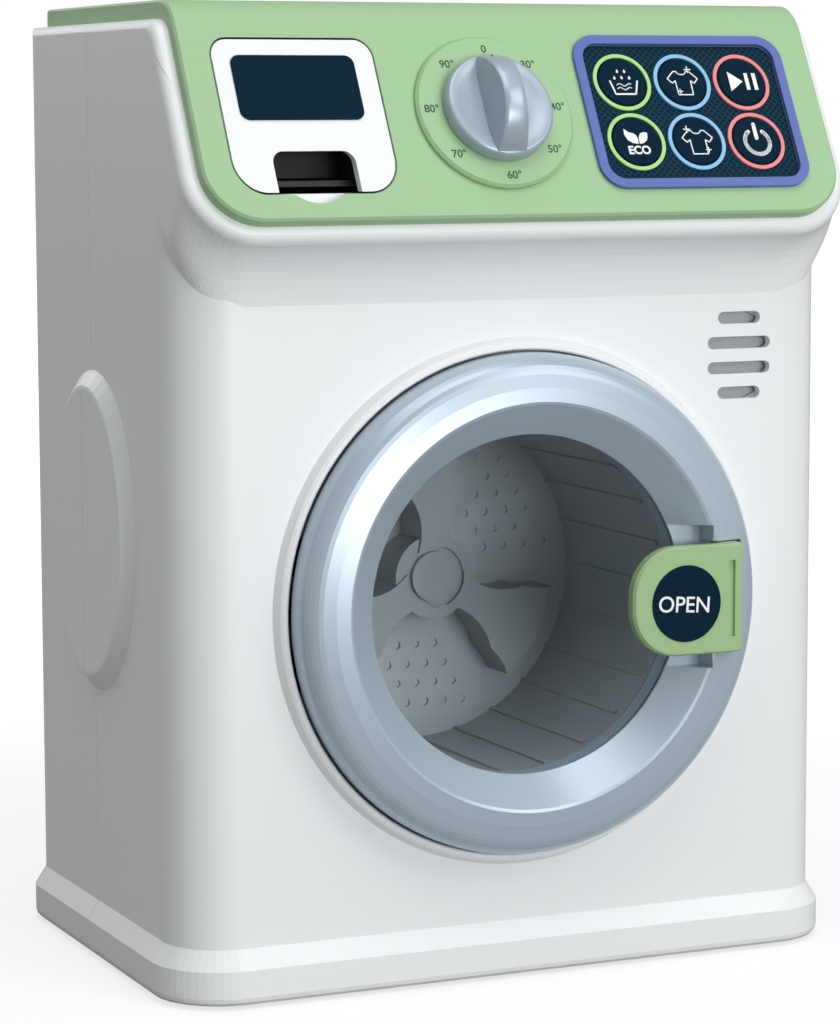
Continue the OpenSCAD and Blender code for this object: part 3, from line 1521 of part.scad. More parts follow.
// Handle: rounded plate, turning root, barrel and latch hook
module handle_outline() {
    r = handle_end_r;
    h = handle_h / 2;
    translate([handle_x0 + r, -h]) square([handle_x1 - handle_x0 - r - 1.5, handle_h]);
    translate([handle_x0, -h + r]) square([handle_x1 - handle_x0, handle_h - 2 * r]);
    translate([handle_x1 - 3, -h + 1.5]) square([3, handle_h - 3]);
    for (s = [-1, 1]) {
        translate([handle_x0 + r, s * (h - r)]) circle(r);
        translate([handle_x1 - 1.5, s * (h - 1.5)]) circle(1.5);
    }
}

module door_handle() {
    color(green_c) place() on_door() difference() {
        union() {
            translate([0, 0, handle_out - handle_t]) linear_extrude(handle_t - 0.8) handle_outline();
            hull() {
                translate([0, 0, handle_out - 0.9]) linear_extrude(0.1) handle_outline($fn = 48);
                translate([0, 0, handle_out - 0.1]) linear_extrude(0.1) translate([41, 0]) scale(0.965)
                    translate([-41, 0]) handle_outline($fn = 48);
            }
            // Root down to the barrel
            translate([pivot_x - barrel_r, -handle_h / 2 + 0.01, pivot_out])
                cube([handle_x1 - pivot_x + barrel_r, handle_h - 0.02, handle_out - pivot_out - 1]);
            translate([pivot_x, -handle_h / 2, pivot_out]) rotate([-90, 0, 0])
                cylinder(r = barrel_r, h = handle_h);
            // Hook
            translate([pivot_x - 2, -hook_h / 2, -hook_back]) cube([2.2, hook_h, hook_back + pivot_out]);
            translate([pivot_x - 2, -hook_h / 2, -hook_back])
                cube([latch_slot_x1 - move_gap - pivot_x + 2, hook_h, 2.2]);
        }
        translate([pivot_x, -handle_h, pivot_out]) rotate([-90, 0, 0])
            cylinder(r = handle_pin_r + bearing_gap, h = 2 * handle_h);
        translate([badge_x, badge_y, handle_out - 0.7]) cylinder(r = badge_r + seat_gap, h = 5);
        // Ledge line near the straight edge
        translate([handle_x1 - 4.4, -10, handle_out - 0.9]) cube([1.8, 20, 3]);
        // Room for the spring
        translate([pivot_x - 3, spring_v0 - 0.4, pivot_out - 5])
            cube([7, spring_turns * spring_wire * 1.9 + 1.6, 7.6]);
    }
}

badge_x = handle_x0 + 15.2;
badge_y = -0.6;

module handle_disc() {
    color(navy_c) place() on_door() translate([badge_x, badge_y, handle_out - 0.7])
        cylinder(r = badge_r, h = 0.9);
}

front_shell();
rear_shell();
base_plate();
feet();
case_screws();
base_screws();
console_cover();
dial_disc();
button_frame();
button_sheet();
ring_green();
ring_blue();
ring_pink();
rubber_keypad();
circuit_board();
board_screws();
rotary_switch();
drawer_housing();
tub();
tub_screws();
drum_bush();
gearbox_plate();
gearbox_screws();
idler_axle();
motor();
battery_box();
batteries();
battery_contacts();
battery_cover();
battery_screw();
speaker();
speaker_clamp();
hinge_bracket();
hinge_pin();
door_ring();
door_inner_ring();
door_window();
door_screws();
handle_pin();
handle_spring();
door_handle();
handle_disc();
drum();
drum_spider();
drum_shaft();
drum_gear();
idler_gear();
motor_pinion();
knob();
drawer_front();
drawer_tray();
drawer_label();
cap_tub();
cap_shirt();
cap_play();
cap_eco();
cap_spin();
cap_power();
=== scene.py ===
import math

import bpy
from mathutils import Matrix, Vector


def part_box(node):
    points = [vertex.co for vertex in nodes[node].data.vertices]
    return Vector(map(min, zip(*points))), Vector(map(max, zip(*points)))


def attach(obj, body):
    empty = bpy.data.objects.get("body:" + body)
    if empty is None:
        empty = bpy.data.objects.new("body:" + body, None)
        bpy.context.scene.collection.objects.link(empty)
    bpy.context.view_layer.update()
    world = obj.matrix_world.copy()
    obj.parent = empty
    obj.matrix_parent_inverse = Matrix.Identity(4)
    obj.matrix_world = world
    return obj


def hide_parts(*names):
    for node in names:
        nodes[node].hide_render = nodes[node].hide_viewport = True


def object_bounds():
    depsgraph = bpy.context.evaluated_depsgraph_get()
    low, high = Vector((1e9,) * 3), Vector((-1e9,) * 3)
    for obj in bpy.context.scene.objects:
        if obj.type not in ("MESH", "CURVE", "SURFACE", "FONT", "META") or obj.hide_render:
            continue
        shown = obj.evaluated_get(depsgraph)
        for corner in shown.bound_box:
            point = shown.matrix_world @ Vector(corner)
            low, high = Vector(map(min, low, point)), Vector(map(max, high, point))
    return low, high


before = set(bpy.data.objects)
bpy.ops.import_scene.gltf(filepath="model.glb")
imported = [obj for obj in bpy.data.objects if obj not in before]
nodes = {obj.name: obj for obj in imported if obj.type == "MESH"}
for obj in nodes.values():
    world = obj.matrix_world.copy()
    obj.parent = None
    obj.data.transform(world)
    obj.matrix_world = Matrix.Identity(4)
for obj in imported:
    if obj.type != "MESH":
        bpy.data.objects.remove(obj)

MM = 0.001
cad_low, cad_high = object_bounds()

# Places on the part, worked out from the CAD solids, in metres
TILT = math.radians(28.5)
SLOPE_UP = Vector((0, math.sin(TILT), math.cos(TILT)))
SLOPE_OUT = Vector((0, -math.cos(TILT), math.sin(TILT)))
ACROSS = Vector((1, 0, 0))


def centre(node):
    """Middle of a node's box at rest."""
    low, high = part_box(node)
    return (low + high) / 2


def top_of(node, direction):
    """The furthest point of a node along a direction."""
    return max(v.co.dot(direction) for v in nodes[node].data.vertices)


# Materials


def new_material(name):
    """Empty material, its node tree and its shader."""
    m = bpy.data.materials.new(name)
    m.use_nodes = True
    tree = m.node_tree
    shader = tree.nodes["Principled BSDF"]
    return m, tree, shader


def srgb(code):
    """Linear colour of a six-digit web colour."""
    parts = [int(code[i:i + 2], 16) / 255 for i in (0, 2, 4)]
    return tuple(p / 12.92 if p <= 0.04045 else ((p + 0.055) / 1.055) ** 2.4 for p in parts) + (1,)


def plastic(name, code, roughness=0.32, coat=0.0, grain=0.0, grain_size=900, metallic=0.0, gloss=0.5):
    """Moulded plastic: even colour, faint moulding grain, optional clear coat."""
    m, tree, shader = new_material(name)
    shader.inputs["Base Color"].default_value = srgb(code)
    shader.inputs["Roughness"].default_value = roughness
    shader.inputs["Metallic"].default_value = metallic
    shader.inputs["Specular IOR Level"].default_value = gloss
    shader.inputs["Coat Weight"].default_value = coat
    shader.inputs["Coat Roughness"].default_value = 0.12
    if grain:
        noise = tree.nodes.new("ShaderNodeTexNoise")
        noise.inputs["Scale"].default_value = grain_size
        noise.inputs["Detail"].default_value = 2
        place = tree.nodes.new("ShaderNodeTexCoord")
        bump = tree.nodes.new("ShaderNodeBump")
        bump.inputs["Strength"].default_value = grain
        bump.inputs["Distance"].default_value = 0.0002
        tree.links.new(place.outputs["Object"], noise.inputs["Vector"])
        tree.links.new(noise.outputs["Fac"], bump.inputs["Height"])
        tree.links.new(bump.outputs["Normal"], shader.inputs["Normal"])
    return m


def metal(name, code, roughness):
    """Plain polished or drawn metal."""
    m, tree, shader = new_material(name)
    shader.inputs["Base Color"].default_value = srgb(code)
    shader.inputs["Metallic"].default_value = 1
    shader.inputs["Roughness"].default_value = roughness
    return m


def smoky_pane(name):
    """Tinted clear plastic that lets lamp light through to the drum."""
    m, tree, shader = new_material(name)
    shader.inputs["Base Color"].default_value = srgb("DDE2E4")
    shader.inputs["Roughness"].default_value = 0.03
    shader.inputs["Transmission Weight"].default_value = 1
    shader.inputs["IOR"].default_value = 1.2
    clear = tree.nodes.new("ShaderNodeBsdfTransparent")
    clear.inputs["Color"].default_value = srgb("E6EAEB")
    ray = tree.nodes.new("ShaderNodeLightPath")
    mix = tree.nodes.new("ShaderNodeMixShader")
    out = tree.nodes["Material Output"]
    tree.links.new(ray.outputs["Is Shadow Ray"], mix.inputs["Fac"])
    tree.links.new(shader.outputs["BSDF"], mix.inputs[1])
    tree.links.new(clear.outputs["BSDF"], mix.inputs[2])
    tree.links.new(mix.outputs["Shader"], out.inputs["Surface"])
    return m


def woven_print(name):
    """Navy print with fine crossing lines, laid along the console's slope."""
    m, tree, shader = new_material(name)
    shader.inputs["Roughness"].default_value = 0.5
    shader.inputs["Specular IOR Level"].default_value = 0.06
    place = tree.nodes.new("ShaderNodeTexCoord")
    lines = []
    for turn in (-45, 45):
        mapping = tree.nodes.new("ShaderNodeMapping")
        mapping.vector_type = "POINT"
        mapping.inputs["Rotation"].default_value = (-(math.pi / 2 - TILT), 0, 0)
        tree.links.new(place.outputs["Object"], mapping.inputs["Vector"])
        spin = tree.nodes.new("ShaderNodeMapping")
        spin.inputs["Rotation"].default_value = (0, 0, math.radians(turn))
        tree.links.new(mapping.outputs["Vector"], spin.inputs["Vector"])
        wave = tree.nodes.new("ShaderNodeTexWave")
        wave.wave_type = "BANDS"
        wave.bands_direction = "X"
        wave.inputs["Scale"].default_value = 240
        wave.inputs["Distortion"].default_value = 1.2
        wave.inputs["Detail"].default_value = 2
        wave.inputs["Detail Scale"].default_value = 3
        tree.links.new(spin.outputs["Vector"], wave.inputs["Vector"])
        ramp = tree.nodes.new("ShaderNodeValToRGB")
        ramp.color_ramp.elements[0].position = 0.62
        ramp.color_ramp.elements[0].color = (0, 0, 0, 1)
        ramp.color_ramp.elements[1].position = 0.95
        ramp.color_ramp.elements[1].color = (1, 1, 1, 1)
        tree.links.new(wave.outputs["Fac"], ramp.inputs["Fac"])
        lines.append(ramp)
    both = tree.nodes.new("ShaderNodeMath")
    both.operation = "MAXIMUM"
    tree.links.new(lines[0].outputs["Color"], both.inputs[0])
    tree.links.new(lines[1].outputs["Color"], both.inputs[1])
    tint = tree.nodes.new("ShaderNodeMix")
    tint.data_type = "RGBA"
    tint.inputs["A"].default_value = srgb("06222F")
    tint.inputs["B"].default_value = srgb("15394C")
    tree.links.new(both.outputs["Value"], tint.inputs["Factor"])
    tree.links.new(tint.outputs["Result"], shader.inputs["Base Color"])
    return m


WHITE = plastic("white shell plastic", "EFF2F3", roughness=0.36, grain=0.05)
GREEN = plastic("pale green plastic", "A0C597", roughness=0.4, grain=0.06, gloss=0.35)
HANDLE_GREEN = plastic("handle green plastic", "A0BF8C", roughness=0.4, grain=0.05, gloss=0.35)
SILVER = plastic("silver blue plastic", "B6C6D4", roughness=0.3, metallic=0.3, grain=0.04)
KNOB_SILVER = plastic("knob silver plastic", "A9B8C5", roughness=0.3, metallic=0.25, grain=0.04)
NAVY = plastic("navy plastic", "062436", roughness=0.6, gloss=0.05)
VIOLET = plastic("violet blue plastic", "5B6CB4", roughness=0.35)
PRINT = woven_print("woven navy print")
RING_GREEN = plastic("ring light green", "A9DC86", roughness=0.35)
RING_BLUE = plastic("ring light blue", "86C2E8", roughness=0.35)
RING_ROSE = plastic("ring rose", "E8898C", roughness=0.35)
DARK = plastic("dark grey plastic", "B0B3B6", roughness=0.45, grain=0.1, grain_size=600)
HUB = plastic("boss grey plastic", "96999C", roughness=0.4, grain=0.1, grain_size=600)
BLACK = plastic("black plastic", "1B1C1E", roughness=0.5)
CLOTH = plastic("speaker cloth", "B4B6B8", roughness=0.8, grain=0.4, grain_size=2500, gloss=0.1)
# Painted shade: the drawer tray is coloured charcoal so the finger notch in front of it reads as dark
# shade.
TRAY_PAINTED_SHADE = plastic("tray plastic charcoal as painted shade", "2B2D30", roughness=0.55, gloss=0.2)
TRAY = plastic("tray plastic", "DDE1E3", roughness=0.4)
GEAR = plastic("gear plastic", "E9E4D4", roughness=0.45)
RUBBER = plastic("foot rubber", "2A2A2C", roughness=0.8, grain=0.3)
KEYPAD = plastic("keypad rubber", "B7B7B5", roughness=0.7)
BOARD = plastic("circuit board", "1E5A31", roughness=0.35, coat=0.4)
CELL = plastic("cell wrap", "35694F", roughness=0.3)
STEEL = metal("steel", "C2C4C6", 0.3)
BRASS = metal("brass", "C9A35A", 0.3)
PANE = smoky_pane("smoky window plastic")
INK = plastic("dark green ink", "2F5A3A", roughness=0.6)
ICON_WHITE = plastic("white print", "F4F7F8", roughness=0.5)

LOOKS = {
    WHITE: ["front_shell", "rear_shell", "base_plate", "battery_cover", "drawer_front"],
    GREEN: ["console_cover", "dial_disc"],
    HANDLE_GREEN: ["door_handle"],
    SILVER: ["door_ring", "door_inner_ring", "knob"],
    NAVY: ["handle_disc", "drawer_label"] + [n for n in nodes if n.startswith("cap_")],
    VIOLET: ["button_frame"],
    PRINT: ["button_sheet"],
    RING_GREEN: ["ring_green"],
    RING_BLUE: ["ring_blue"],
    RING_ROSE: ["ring_pink"],
    DARK: ["tub", "drum"],
    HUB: ["drum_spider"],
    BLACK: ["battery_box", "rotary_switch", "drawer_housing"],
    CLOTH: ["speaker"],
    TRAY_PAINTED_SHADE: ["drawer_tray"],
    TRAY: ["gearbox_plate", "hinge_bracket"],
    GEAR: ["drum_gear", "idler_gear"],
    RUBBER: ["feet"],
    KEYPAD: ["rubber_keypad"],
    BOARD: ["circuit_board"],
    CELL: ["batteries"],
    STEEL: ["case_screws", "base_screws", "board_screws", "tub_screws", "gearbox_screws", "battery_screw",
            "door_screws", "battery_contacts", "speaker_clamp", "hinge_pin", "handle_pin", "handle_spring",
            "idler_axle", "motor", "drum_shaft"],
    BRASS: ["drum_bush", "motor_pinion"],
    PANE: ["door_window"],
}


def dress_nodes():
    """Gives each CAD node its material."""
    for material, names in LOOKS.items():
        for name in names:
            data = nodes[name].data
            data.materials.clear()
            data.materials.append(material)


# Flat prints and small trim


# Place of the label's middle on the slope: across, up and out, in millimetres
LABEL_X, LABEL_V, LABEL_N = -59.5, 34.4, 0.2


def slope_matrix(place):
    """Local x across, y up the slope, z out of it, at a place of the part in metres."""
    m = Matrix((ACROSS, SLOPE_UP, SLOPE_OUT)).transposed().to_4x4()
    m.translation = place
    return m


def console_matrix(x, v, n):
    """Place on the slope in millimetres, across, up and out, measured from the drawer's label."""
    face = centre("drawer_label")
    origin = face - ACROSS * LABEL_X * MM - SLOPE_UP * LABEL_V * MM - SLOPE_OUT * LABEL_N * MM
    return slope_matrix(origin + (ACROSS * x + SLOPE_UP * v + SLOPE_OUT * n) * MM)


def door_matrix(x, z, y):
    """Local x across, y up, z towards the viewer, at a place of the part in metres."""
    m = Matrix(((1, 0, 0), (0, 0, 1), (0, -1, 0))).transposed().to_4x4()
    m.translation = Vector((x, y, z))
    return m


def put(name, data, matrix, body):
    """New piece from a mesh, at its place, on its body."""
    obj = bpy.data.objects.new(name, data)
    bpy.context.scene.collection.objects.link(obj)
    obj.matrix_world = matrix
    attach(obj, body)
    return obj


def add_mesh(name, verts, faces, matrix, material, body):
    """New piece from points in metres and faces."""
    data = bpy.data.meshes.new(name)
    data.from_pydata(verts, [], faces)
    data.update()
    data.materials.append(material)
    return put(name, data, matrix, body)


def plates(outlines, height):
    """Closed flat plates from 2D outlines in millimetres, in local metres."""
    verts, faces = [], []
    for outline in outlines:
        start, count = len(verts), len(outline)
        for z in (0, height):
            verts += [(x * MM, y * MM, z * MM) for x, y in outline]
        faces.append([start + i for i in reversed(range(count))])
        faces.append([start + count + i for i in range(count)])
        for i in range(count):
            k = (i + 1) % count
            faces.append([start + i, start + k, start + count + k, start + count + i])
    return verts, faces


def stroke(points, width, closed=False):
    """Outlines that draw a line through points: one box for each stretch and one disc for each point."""
    shapes = []
    pairs = list(zip(points, points[1:] + points[:1])) if closed else list(zip(points, points[1:]))
    for (x0, y0), (x1, y1) in pairs:
        length = math.hypot(x1 - x0, y1 - y0)
        if length < 1e-6:
            continue
        sx, sy = -(y1 - y0) / length * width / 2, (x1 - x0) / length * width / 2
        shapes.append([(x0 - sx, y0 - sy), (x1 - sx, y1 - sy), (x1 + sx, y1 + sy), (x0 + sx, y0 + sy)])
    for x, y in points:
        shapes.append(arc_points(x, y, width / 2, 0, 360, 8)[:-1])
    return shapes


def arc_points(cx, cy, r, start, end, steps, ry=None):
    """Points of an arc round a centre, from one angle to another, in degrees."""
    ry = r if ry is None else ry
    out = []
    for i in range(steps + 1):
        a = math.radians(start + (end - start) * i / steps)
        out.append((cx + r * math.cos(a), cy + ry * math.sin(a)))
    return out


def drop(x, y, size):
    """Small water drop, point up."""
    body = arc_points(x, y, size, -210, 30, 10)
    return [body + [(x, y + 2.2 * size)]]


def text_mesh(name, words, size, matrix, material, body, height=0.12, bold=0.0):
    """Raised lettering, centred on its place."""
    curve = bpy.data.curves.new(name, "FONT")
    curve.body = words
    curve.size = size * MM
    curve.align_x = "CENTER"
    curve.align_y = "CENTER"
    curve.extrude = height * MM / 2
    curve.offset = bold * MM
    maker = bpy.data.objects.new(name + "_maker", curve)
    bpy.context.scene.collection.objects.link(maker)
    bpy.context.view_layer.update()
    graph = bpy.context.evaluated_depsgraph_get()
    data = bpy.data.meshes.new_from_object(maker.evaluated_get(graph))
    bpy.data.objects.remove(maker)
    data.materials.clear()
    data.materials.append(material)
    return put(name, data, matrix, body)


# Middle of the dial on the slope, height of its face and size of its numbers, in millimetres
DIAL_X, DIAL_V = -7.5, 27.0
DIAL_TOP = 1.6
DIAL_WORD = 3.0
DIAL_BOLD = 0.04

# Words and place on the slope, across and up, in millimetres
DIAL_MARKS = [
    ("0", -7.0, 44.6), ("30°", 4.5, 40.2), ("40°", 10.2, 28.0), ("50°", 6.6, 15.9),
    ("60°", -6.4, 8.7), ("70°", -20.3, 14.8), ("80°", -25.1, 27.5), ("90°", -18.2, 40.2),
]


def dial_numbers():
    """Plain numbers round the dial, upright, with 0 at the top."""
    for words, x, v in DIAL_MARKS:
        name = "dial_mark_" + words.strip("°")
        place = console_matrix(x, v, DIAL_TOP)
        text_mesh(name, words, DIAL_WORD, place, INK, "cabinet", bold=DIAL_BOLD)


# Disc of the knob, in millimetres: gap under it, radius, height, rounded edge, lip and depth of the
# dished face, radius left open at its middle
KNOB_BASE = DIAL_TOP + 0.3
KNOB_R = 14.5
KNOB_EDGE = 3.6
KNOB_ROUND = 1.2
KNOB_LIP, KNOB_LIP_DROP = 0.5, 0.1
KNOB_DISH = 1.0
DISH_SLOPE = 2.2
CORE_R = 0.01
ROUND_STEPS, DISH_STEPS, TURN_STEPS = 6, 8, 96

# Grip of the knob, in millimetres: its foot's and top's heights, radius of its arched crest, reach from
# the middle, half widths at the foot, the ends and the crest, and its rounded shoulder
GRIP_LOW, GRIP_HIGH = 2.4, 12.0
GRIP_ARCH = 14.9
GRIP_REACH = 13.5
GRIP_FOOT, GRIP_END, GRIP_CROWN = 4.7, 4.2, 2.9
GRIP_HOLLOW = 0.62
SHOULDER, SHOULDER_DROP, CREST_RISE = 0.35, 0.03, 0.15
GRIP_STEPS = 40
SHARP_ANGLE = 38

# Small mark on the knob: width, ends along the grip and height, in millimetres
TICK_W, TICK_FROM, TICK_TO, TICK_H = 0.4, 12.8, 13.4, 1.2
TICK_SINK = 0.2


def knob_disc():
    """Turned disc with a rounded edge and a dished face."""
    profile = [(CORE_R, 0), (KNOB_R, 0)]
    for i in range(ROUND_STEPS + 1):
        a = math.radians(90 * i / ROUND_STEPS)
        r = KNOB_R - KNOB_ROUND + KNOB_ROUND * math.cos(a)
        profile.append((r, KNOB_EDGE - KNOB_ROUND + KNOB_ROUND * math.sin(a)))
    for i in range(1, DISH_STEPS + 1):
        t = i / DISH_STEPS
        r = (KNOB_R - KNOB_ROUND - KNOB_LIP) * (1 - t) + CORE_R
        depth = KNOB_DISH * math.sin(math.pi / 2 * min(t * DISH_SLOPE, 1))
        profile.append((r, KNOB_EDGE - KNOB_LIP_DROP - depth))
    count = len(profile)
    verts, faces = [], []
    for k in range(TURN_STEPS):
        a = 2 * math.pi * k / TURN_STEPS
        verts += [(r * math.cos(a), r * math.sin(a), z) for r, z in profile]
    for k in range(TURN_STEPS):
        here, there = k * count, (k + 1) % TURN_STEPS * count
        for i in range(count - 1):
            faces.append([here + i, there + i, there + i + 1, here + i + 1])
    faces.append([k * count for k in reversed(range(TURN_STEPS))])
    faces.append([k * count + count - 1 for k in range(TURN_STEPS)])
    return verts, faces


def knob_ridge():
    """Grip: a waisted bar, by sections across it from end to end."""
    verts, faces = [], []
    for i in range(GRIP_STEPS + 1):
        along = GRIP_REACH * math.sin(math.pi * (i / GRIP_STEPS - 0.5))
        top = GRIP_HIGH - GRIP_ARCH + math.sqrt(GRIP_ARCH ** 2 - along ** 2)
        share = (top - GRIP_LOW) / (GRIP_HIGH - GRIP_LOW)
        crest = GRIP_END + (GRIP_CROWN - GRIP_END) * share
        middle = GRIP_FOOT + GRIP_HOLLOW * (crest - GRIP_FOOT)
        half = [(GRIP_FOOT, GRIP_LOW), (middle, GRIP_LOW + 0.5 * (top - GRIP_LOW)), (crest, top - SHOULDER),
                (crest - SHOULDER, top - SHOULDER_DROP), (0.5 * crest, top + CREST_RISE)]
        section = [(-x, z) for x, z in half] + [(x, z) for x, z in reversed(half)]
        verts += [(x, along, z) for x, z in section]
    count = len(section)
    for i in range(GRIP_STEPS):
        for k in range(count):
            n = (k + 1) % count
            faces.append([i * count + k, i * count + n, (i + 1) * count + n, (i + 1) * count + k])
    faces.append(list(reversed(range(count))))
    faces.append([GRIP_STEPS * count + k for k in range(count)])
    return verts, faces


def knob_look():
    """Knob with its grip, in place of the plainer one of the CAD model."""
    verts, faces = knob_disc()
    more, more_faces = knob_ridge()
    start = len(verts)
    verts = [(x * MM, y * MM, z * MM) for x, y, z in verts + more]
    faces += [[start + i for i in face] for face in more_faces]
    place = console_matrix(DIAL_X, DIAL_V, KNOB_BASE)
    obj = add_mesh("knob_with_grip", verts, faces, place, KNOB_SILVER, "dial_knob")
    obj.data.polygons.foreach_set("use_smooth", [True] * len(obj.data.polygons))
    obj.data.set_sharp_from_angle(angle=math.radians(SHARP_ANGLE))
    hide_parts("knob")
    w = TICK_W / 2
    tick = plates([[(-w, TICK_FROM), (w, TICK_FROM), (w, TICK_TO), (-w, TICK_TO)]], TICK_H)
    place = console_matrix(DIAL_X, DIAL_V, KNOB_BASE + KNOB_EDGE - TICK_SINK)
    add_mesh("knob_tick", tick[0], tick[1], place, INK, "dial_knob")


# Line widths and thickness of the printed icons, and the word under the leaves, in millimetres
THIN_LINE = 0.3
THICK_LINE = 1.1
BASIN_LINE = 0.45
DROP_SIZE = 0.34
ICON_THICK = 0.1
ECO_WORD, ECO_BOLD = 3.2, 0.1
ECO_DOWN, ECO_LIFT = 2.75, 0.05


def sparkle(x, y, r):
    """Small four-armed glint."""
    return stroke([(x - r, y), (x + r, y)], THIN_LINE) + stroke([(x, y - r), (x, y + r)], THIN_LINE)


def shirt():
    """Line drawing of a short-sleeved shirt."""
    right = [(1.4, 2.9), (2.4, 2.9), (4.5, 0.8), (3.3, -0.5), (2.3, 0.2), (2.2, -3.9)]
    left = [(-x + 0.1, y) for x, y in reversed(right)]
    collar = arc_points(0.05, 2.9, 1.35, 180, 360, 8, ry=0.9)
    return stroke(right + left + collar[1:-1], THIN_LINE, closed=True)


def icon_tub():
    """Wash basin with water and five drops."""
    shapes = stroke([(-3.7, 0.1), (-2.8, -3.7), (3.0, -3.7), (4.2, 0.1)], BASIN_LINE)
    for low in (-1.0, -2.1):
        wave = [(k / 4 - 1.9, low + 0.35 * math.sin(k * 0.55)) for k in range(17)]
        shapes += stroke(wave, THIN_LINE)
    for x, y in ((-1.0, 2.8), (1.1, 2.8), (-2.2, 0.9), (-0.1, 1.0), (2.1, 0.9)):
        shapes += drop(x, y, DROP_SIZE)
    return shapes


def icon_shirt():
    """Shirt with glints at its right shoulder and left hem."""
    return shirt() + sparkle(2.1, 3.5, 0.9) + sparkle(-1.4, -2.9, 0.6)


def icon_spin():
    """Shirt with glints at its left shoulder and right hem."""
    return shirt() + sparkle(-2.5, 3.3, 0.9) + sparkle(2.6, -2.7, 0.7)


def icon_play():
    """Triangle and two bars."""
    return [[(-3.8, -2.9), (0.2, 0), (-3.8, 2.9)],
            [(1.0, -2.45), (2.05, -2.45), (2.05, 2.45), (1.0, 2.45)],
            [(3.3, -2.45), (4.4, -2.45), (4.4, 2.45), (3.3, 2.45)]]


def icon_eco():
    """Two leaves above the word."""
    left = [(-3.2, 3.5), (-3.4, 1.9), (-2.7, 0.3), (-1.4, -0.6), (0.1, -0.85), (0.3, 0.4), (0.0, 1.6),
            (-0.8, 2.2), (-2.0, 2.5)]
    right = [(3.3, 2.35), (2.3, 2.5), (1.3, 2.2), (0.65, 1.1), (0.5, -0.85), (1.8, -0.6), (2.8, 0.2),
             (3.2, 1.2)]
    return [left, right[::-1]]


def icon_power():
    """Open ring with a bar in its gap."""
    ring = arc_points(0, -0.5, 3.6, 125, 415, 32)
    return stroke(ring, THICK_LINE) + stroke([(0, 0.6), (0, 4.6)], THICK_LINE)


CAP_ICONS = {
    "cap_tub": icon_tub, "cap_shirt": icon_shirt, "cap_play": icon_play,
    "cap_eco": icon_eco, "cap_spin": icon_spin, "cap_power": icon_power,
}


def cap_top_matrix(node, lift):
    """Matrix on the face of a cap, so that its icon moves with it."""
    middle = centre_along(node)
    top = top_of(node, SLOPE_OUT) + lift * MM
    return slope_matrix(ACROSS * middle[0] + SLOPE_UP * middle[1] + SLOPE_OUT * top)


def centre_along(node):
    """Middle of a node across and up the slope."""
    points = [v.co for v in nodes[node].data.vertices]
    spans = []
    for axis in (ACROSS, SLOPE_UP):
        values = [p.dot(axis) for p in points]
        spans.append((min(values) + max(values)) / 2)
    return spans


def button_icons():
    """One printed icon on each cap."""
    for node, draw in CAP_ICONS.items():
        body = "button_" + node[4:]
        verts, faces = plates(draw(), ICON_THICK)
        add_mesh("icon_" + node[4:], verts, faces, cap_top_matrix(node, 0), ICON_WHITE, body)
    place = cap_top_matrix("cap_eco", ECO_LIFT) @ Matrix.Translation(Vector((0, -ECO_DOWN * MM, 0)))
    text_mesh("word_eco", "ECO", ECO_WORD, place, ICON_WHITE, "button_eco", bold=ECO_BOLD)


# Word on the handle's disc: size, shift from the disc's middle, lift, in millimetres, and turn in degrees
OPEN_WORD, OPEN_BOLD = 5.9, 0.03
OPEN_LEFT, OPEN_DOWN, OPEN_LIFT = 0.7, 0.4, 0.05
OPEN_TURN = -3.5


def handle_word():
    """The word on the handle's disc, which moves with the handle."""
    low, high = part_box("handle_disc")
    middle = (low + high) / 2
    place = door_matrix(middle.x - OPEN_LEFT * MM, middle.z - OPEN_DOWN * MM, low.y - OPEN_LIFT * MM)
    turn = Matrix.Rotation(math.radians(OPEN_TURN), 4, "Z")
    text_mesh("word_open", "OPEN", OPEN_WORD, place @ turn, ICON_WHITE, "handle", bold=OPEN_BOLD)


# Floor: its grey, and how brightly the camera sees it near the part and far from it, with the
# distances in metres between which that changes
FLOOR_REACH = 6.0
FLOOR_SHADE = 0.3
FLOOR_GLOW_NEAR, FLOOR_GLOW_FAR = 0.72, 1.0
FLOOR_FADE_FROM, FLOOR_FADE_TO = 0.25, 0.9
WORLD_GLOW = 0.36

# Soft lamps, all aimed at the middle of the part: name, place in metres, width, height, watts
LAMP_TARGET = Vector((0, 0, 0.13))
LAMPS = [
    ("key", (0.85, -1.35, 1.15), 0.8, 0.8, 7.0),
    ("strip", (0.12, -1.9, 0.35), 0.08, 0.9, 3.0),
    ("front", (0.3, -1.6, 0.25), 0.9, 0.4, 8.0),
    ("top", (-0.1, -0.45, 1.7), 1.2, 1.2, 10.6),
    ("rear", (-0.7, 1.7, 0.9), 1.2, 1.0, 7.0),
]


def white_for_camera(tree, plain, out):
    """Adds plain white wherever the camera or a clear pane looks at the backdrop."""
    ray = tree.nodes.new("ShaderNodeLightPath")
    seen = tree.nodes.new("ShaderNodeMath")
    seen.operation = "MAXIMUM"
    tree.links.new(ray.outputs["Is Camera Ray"], seen.inputs[0])
    tree.links.new(ray.outputs["Is Transmission Ray"], seen.inputs[1])
    white = tree.nodes.new("ShaderNodeBackground")
    white.inputs["Color"].default_value = (1, 1, 1, 1)
    white.inputs["Strength"].default_value = 1.0
    mix = tree.nodes.new("ShaderNodeMixShader")
    tree.links.new(seen.outputs["Value"], mix.inputs["Fac"])
    tree.links.new(plain, mix.inputs[1])
    tree.links.new(white.outputs["Background"], mix.inputs[2])
    tree.links.new(mix.outputs["Shader"], out)


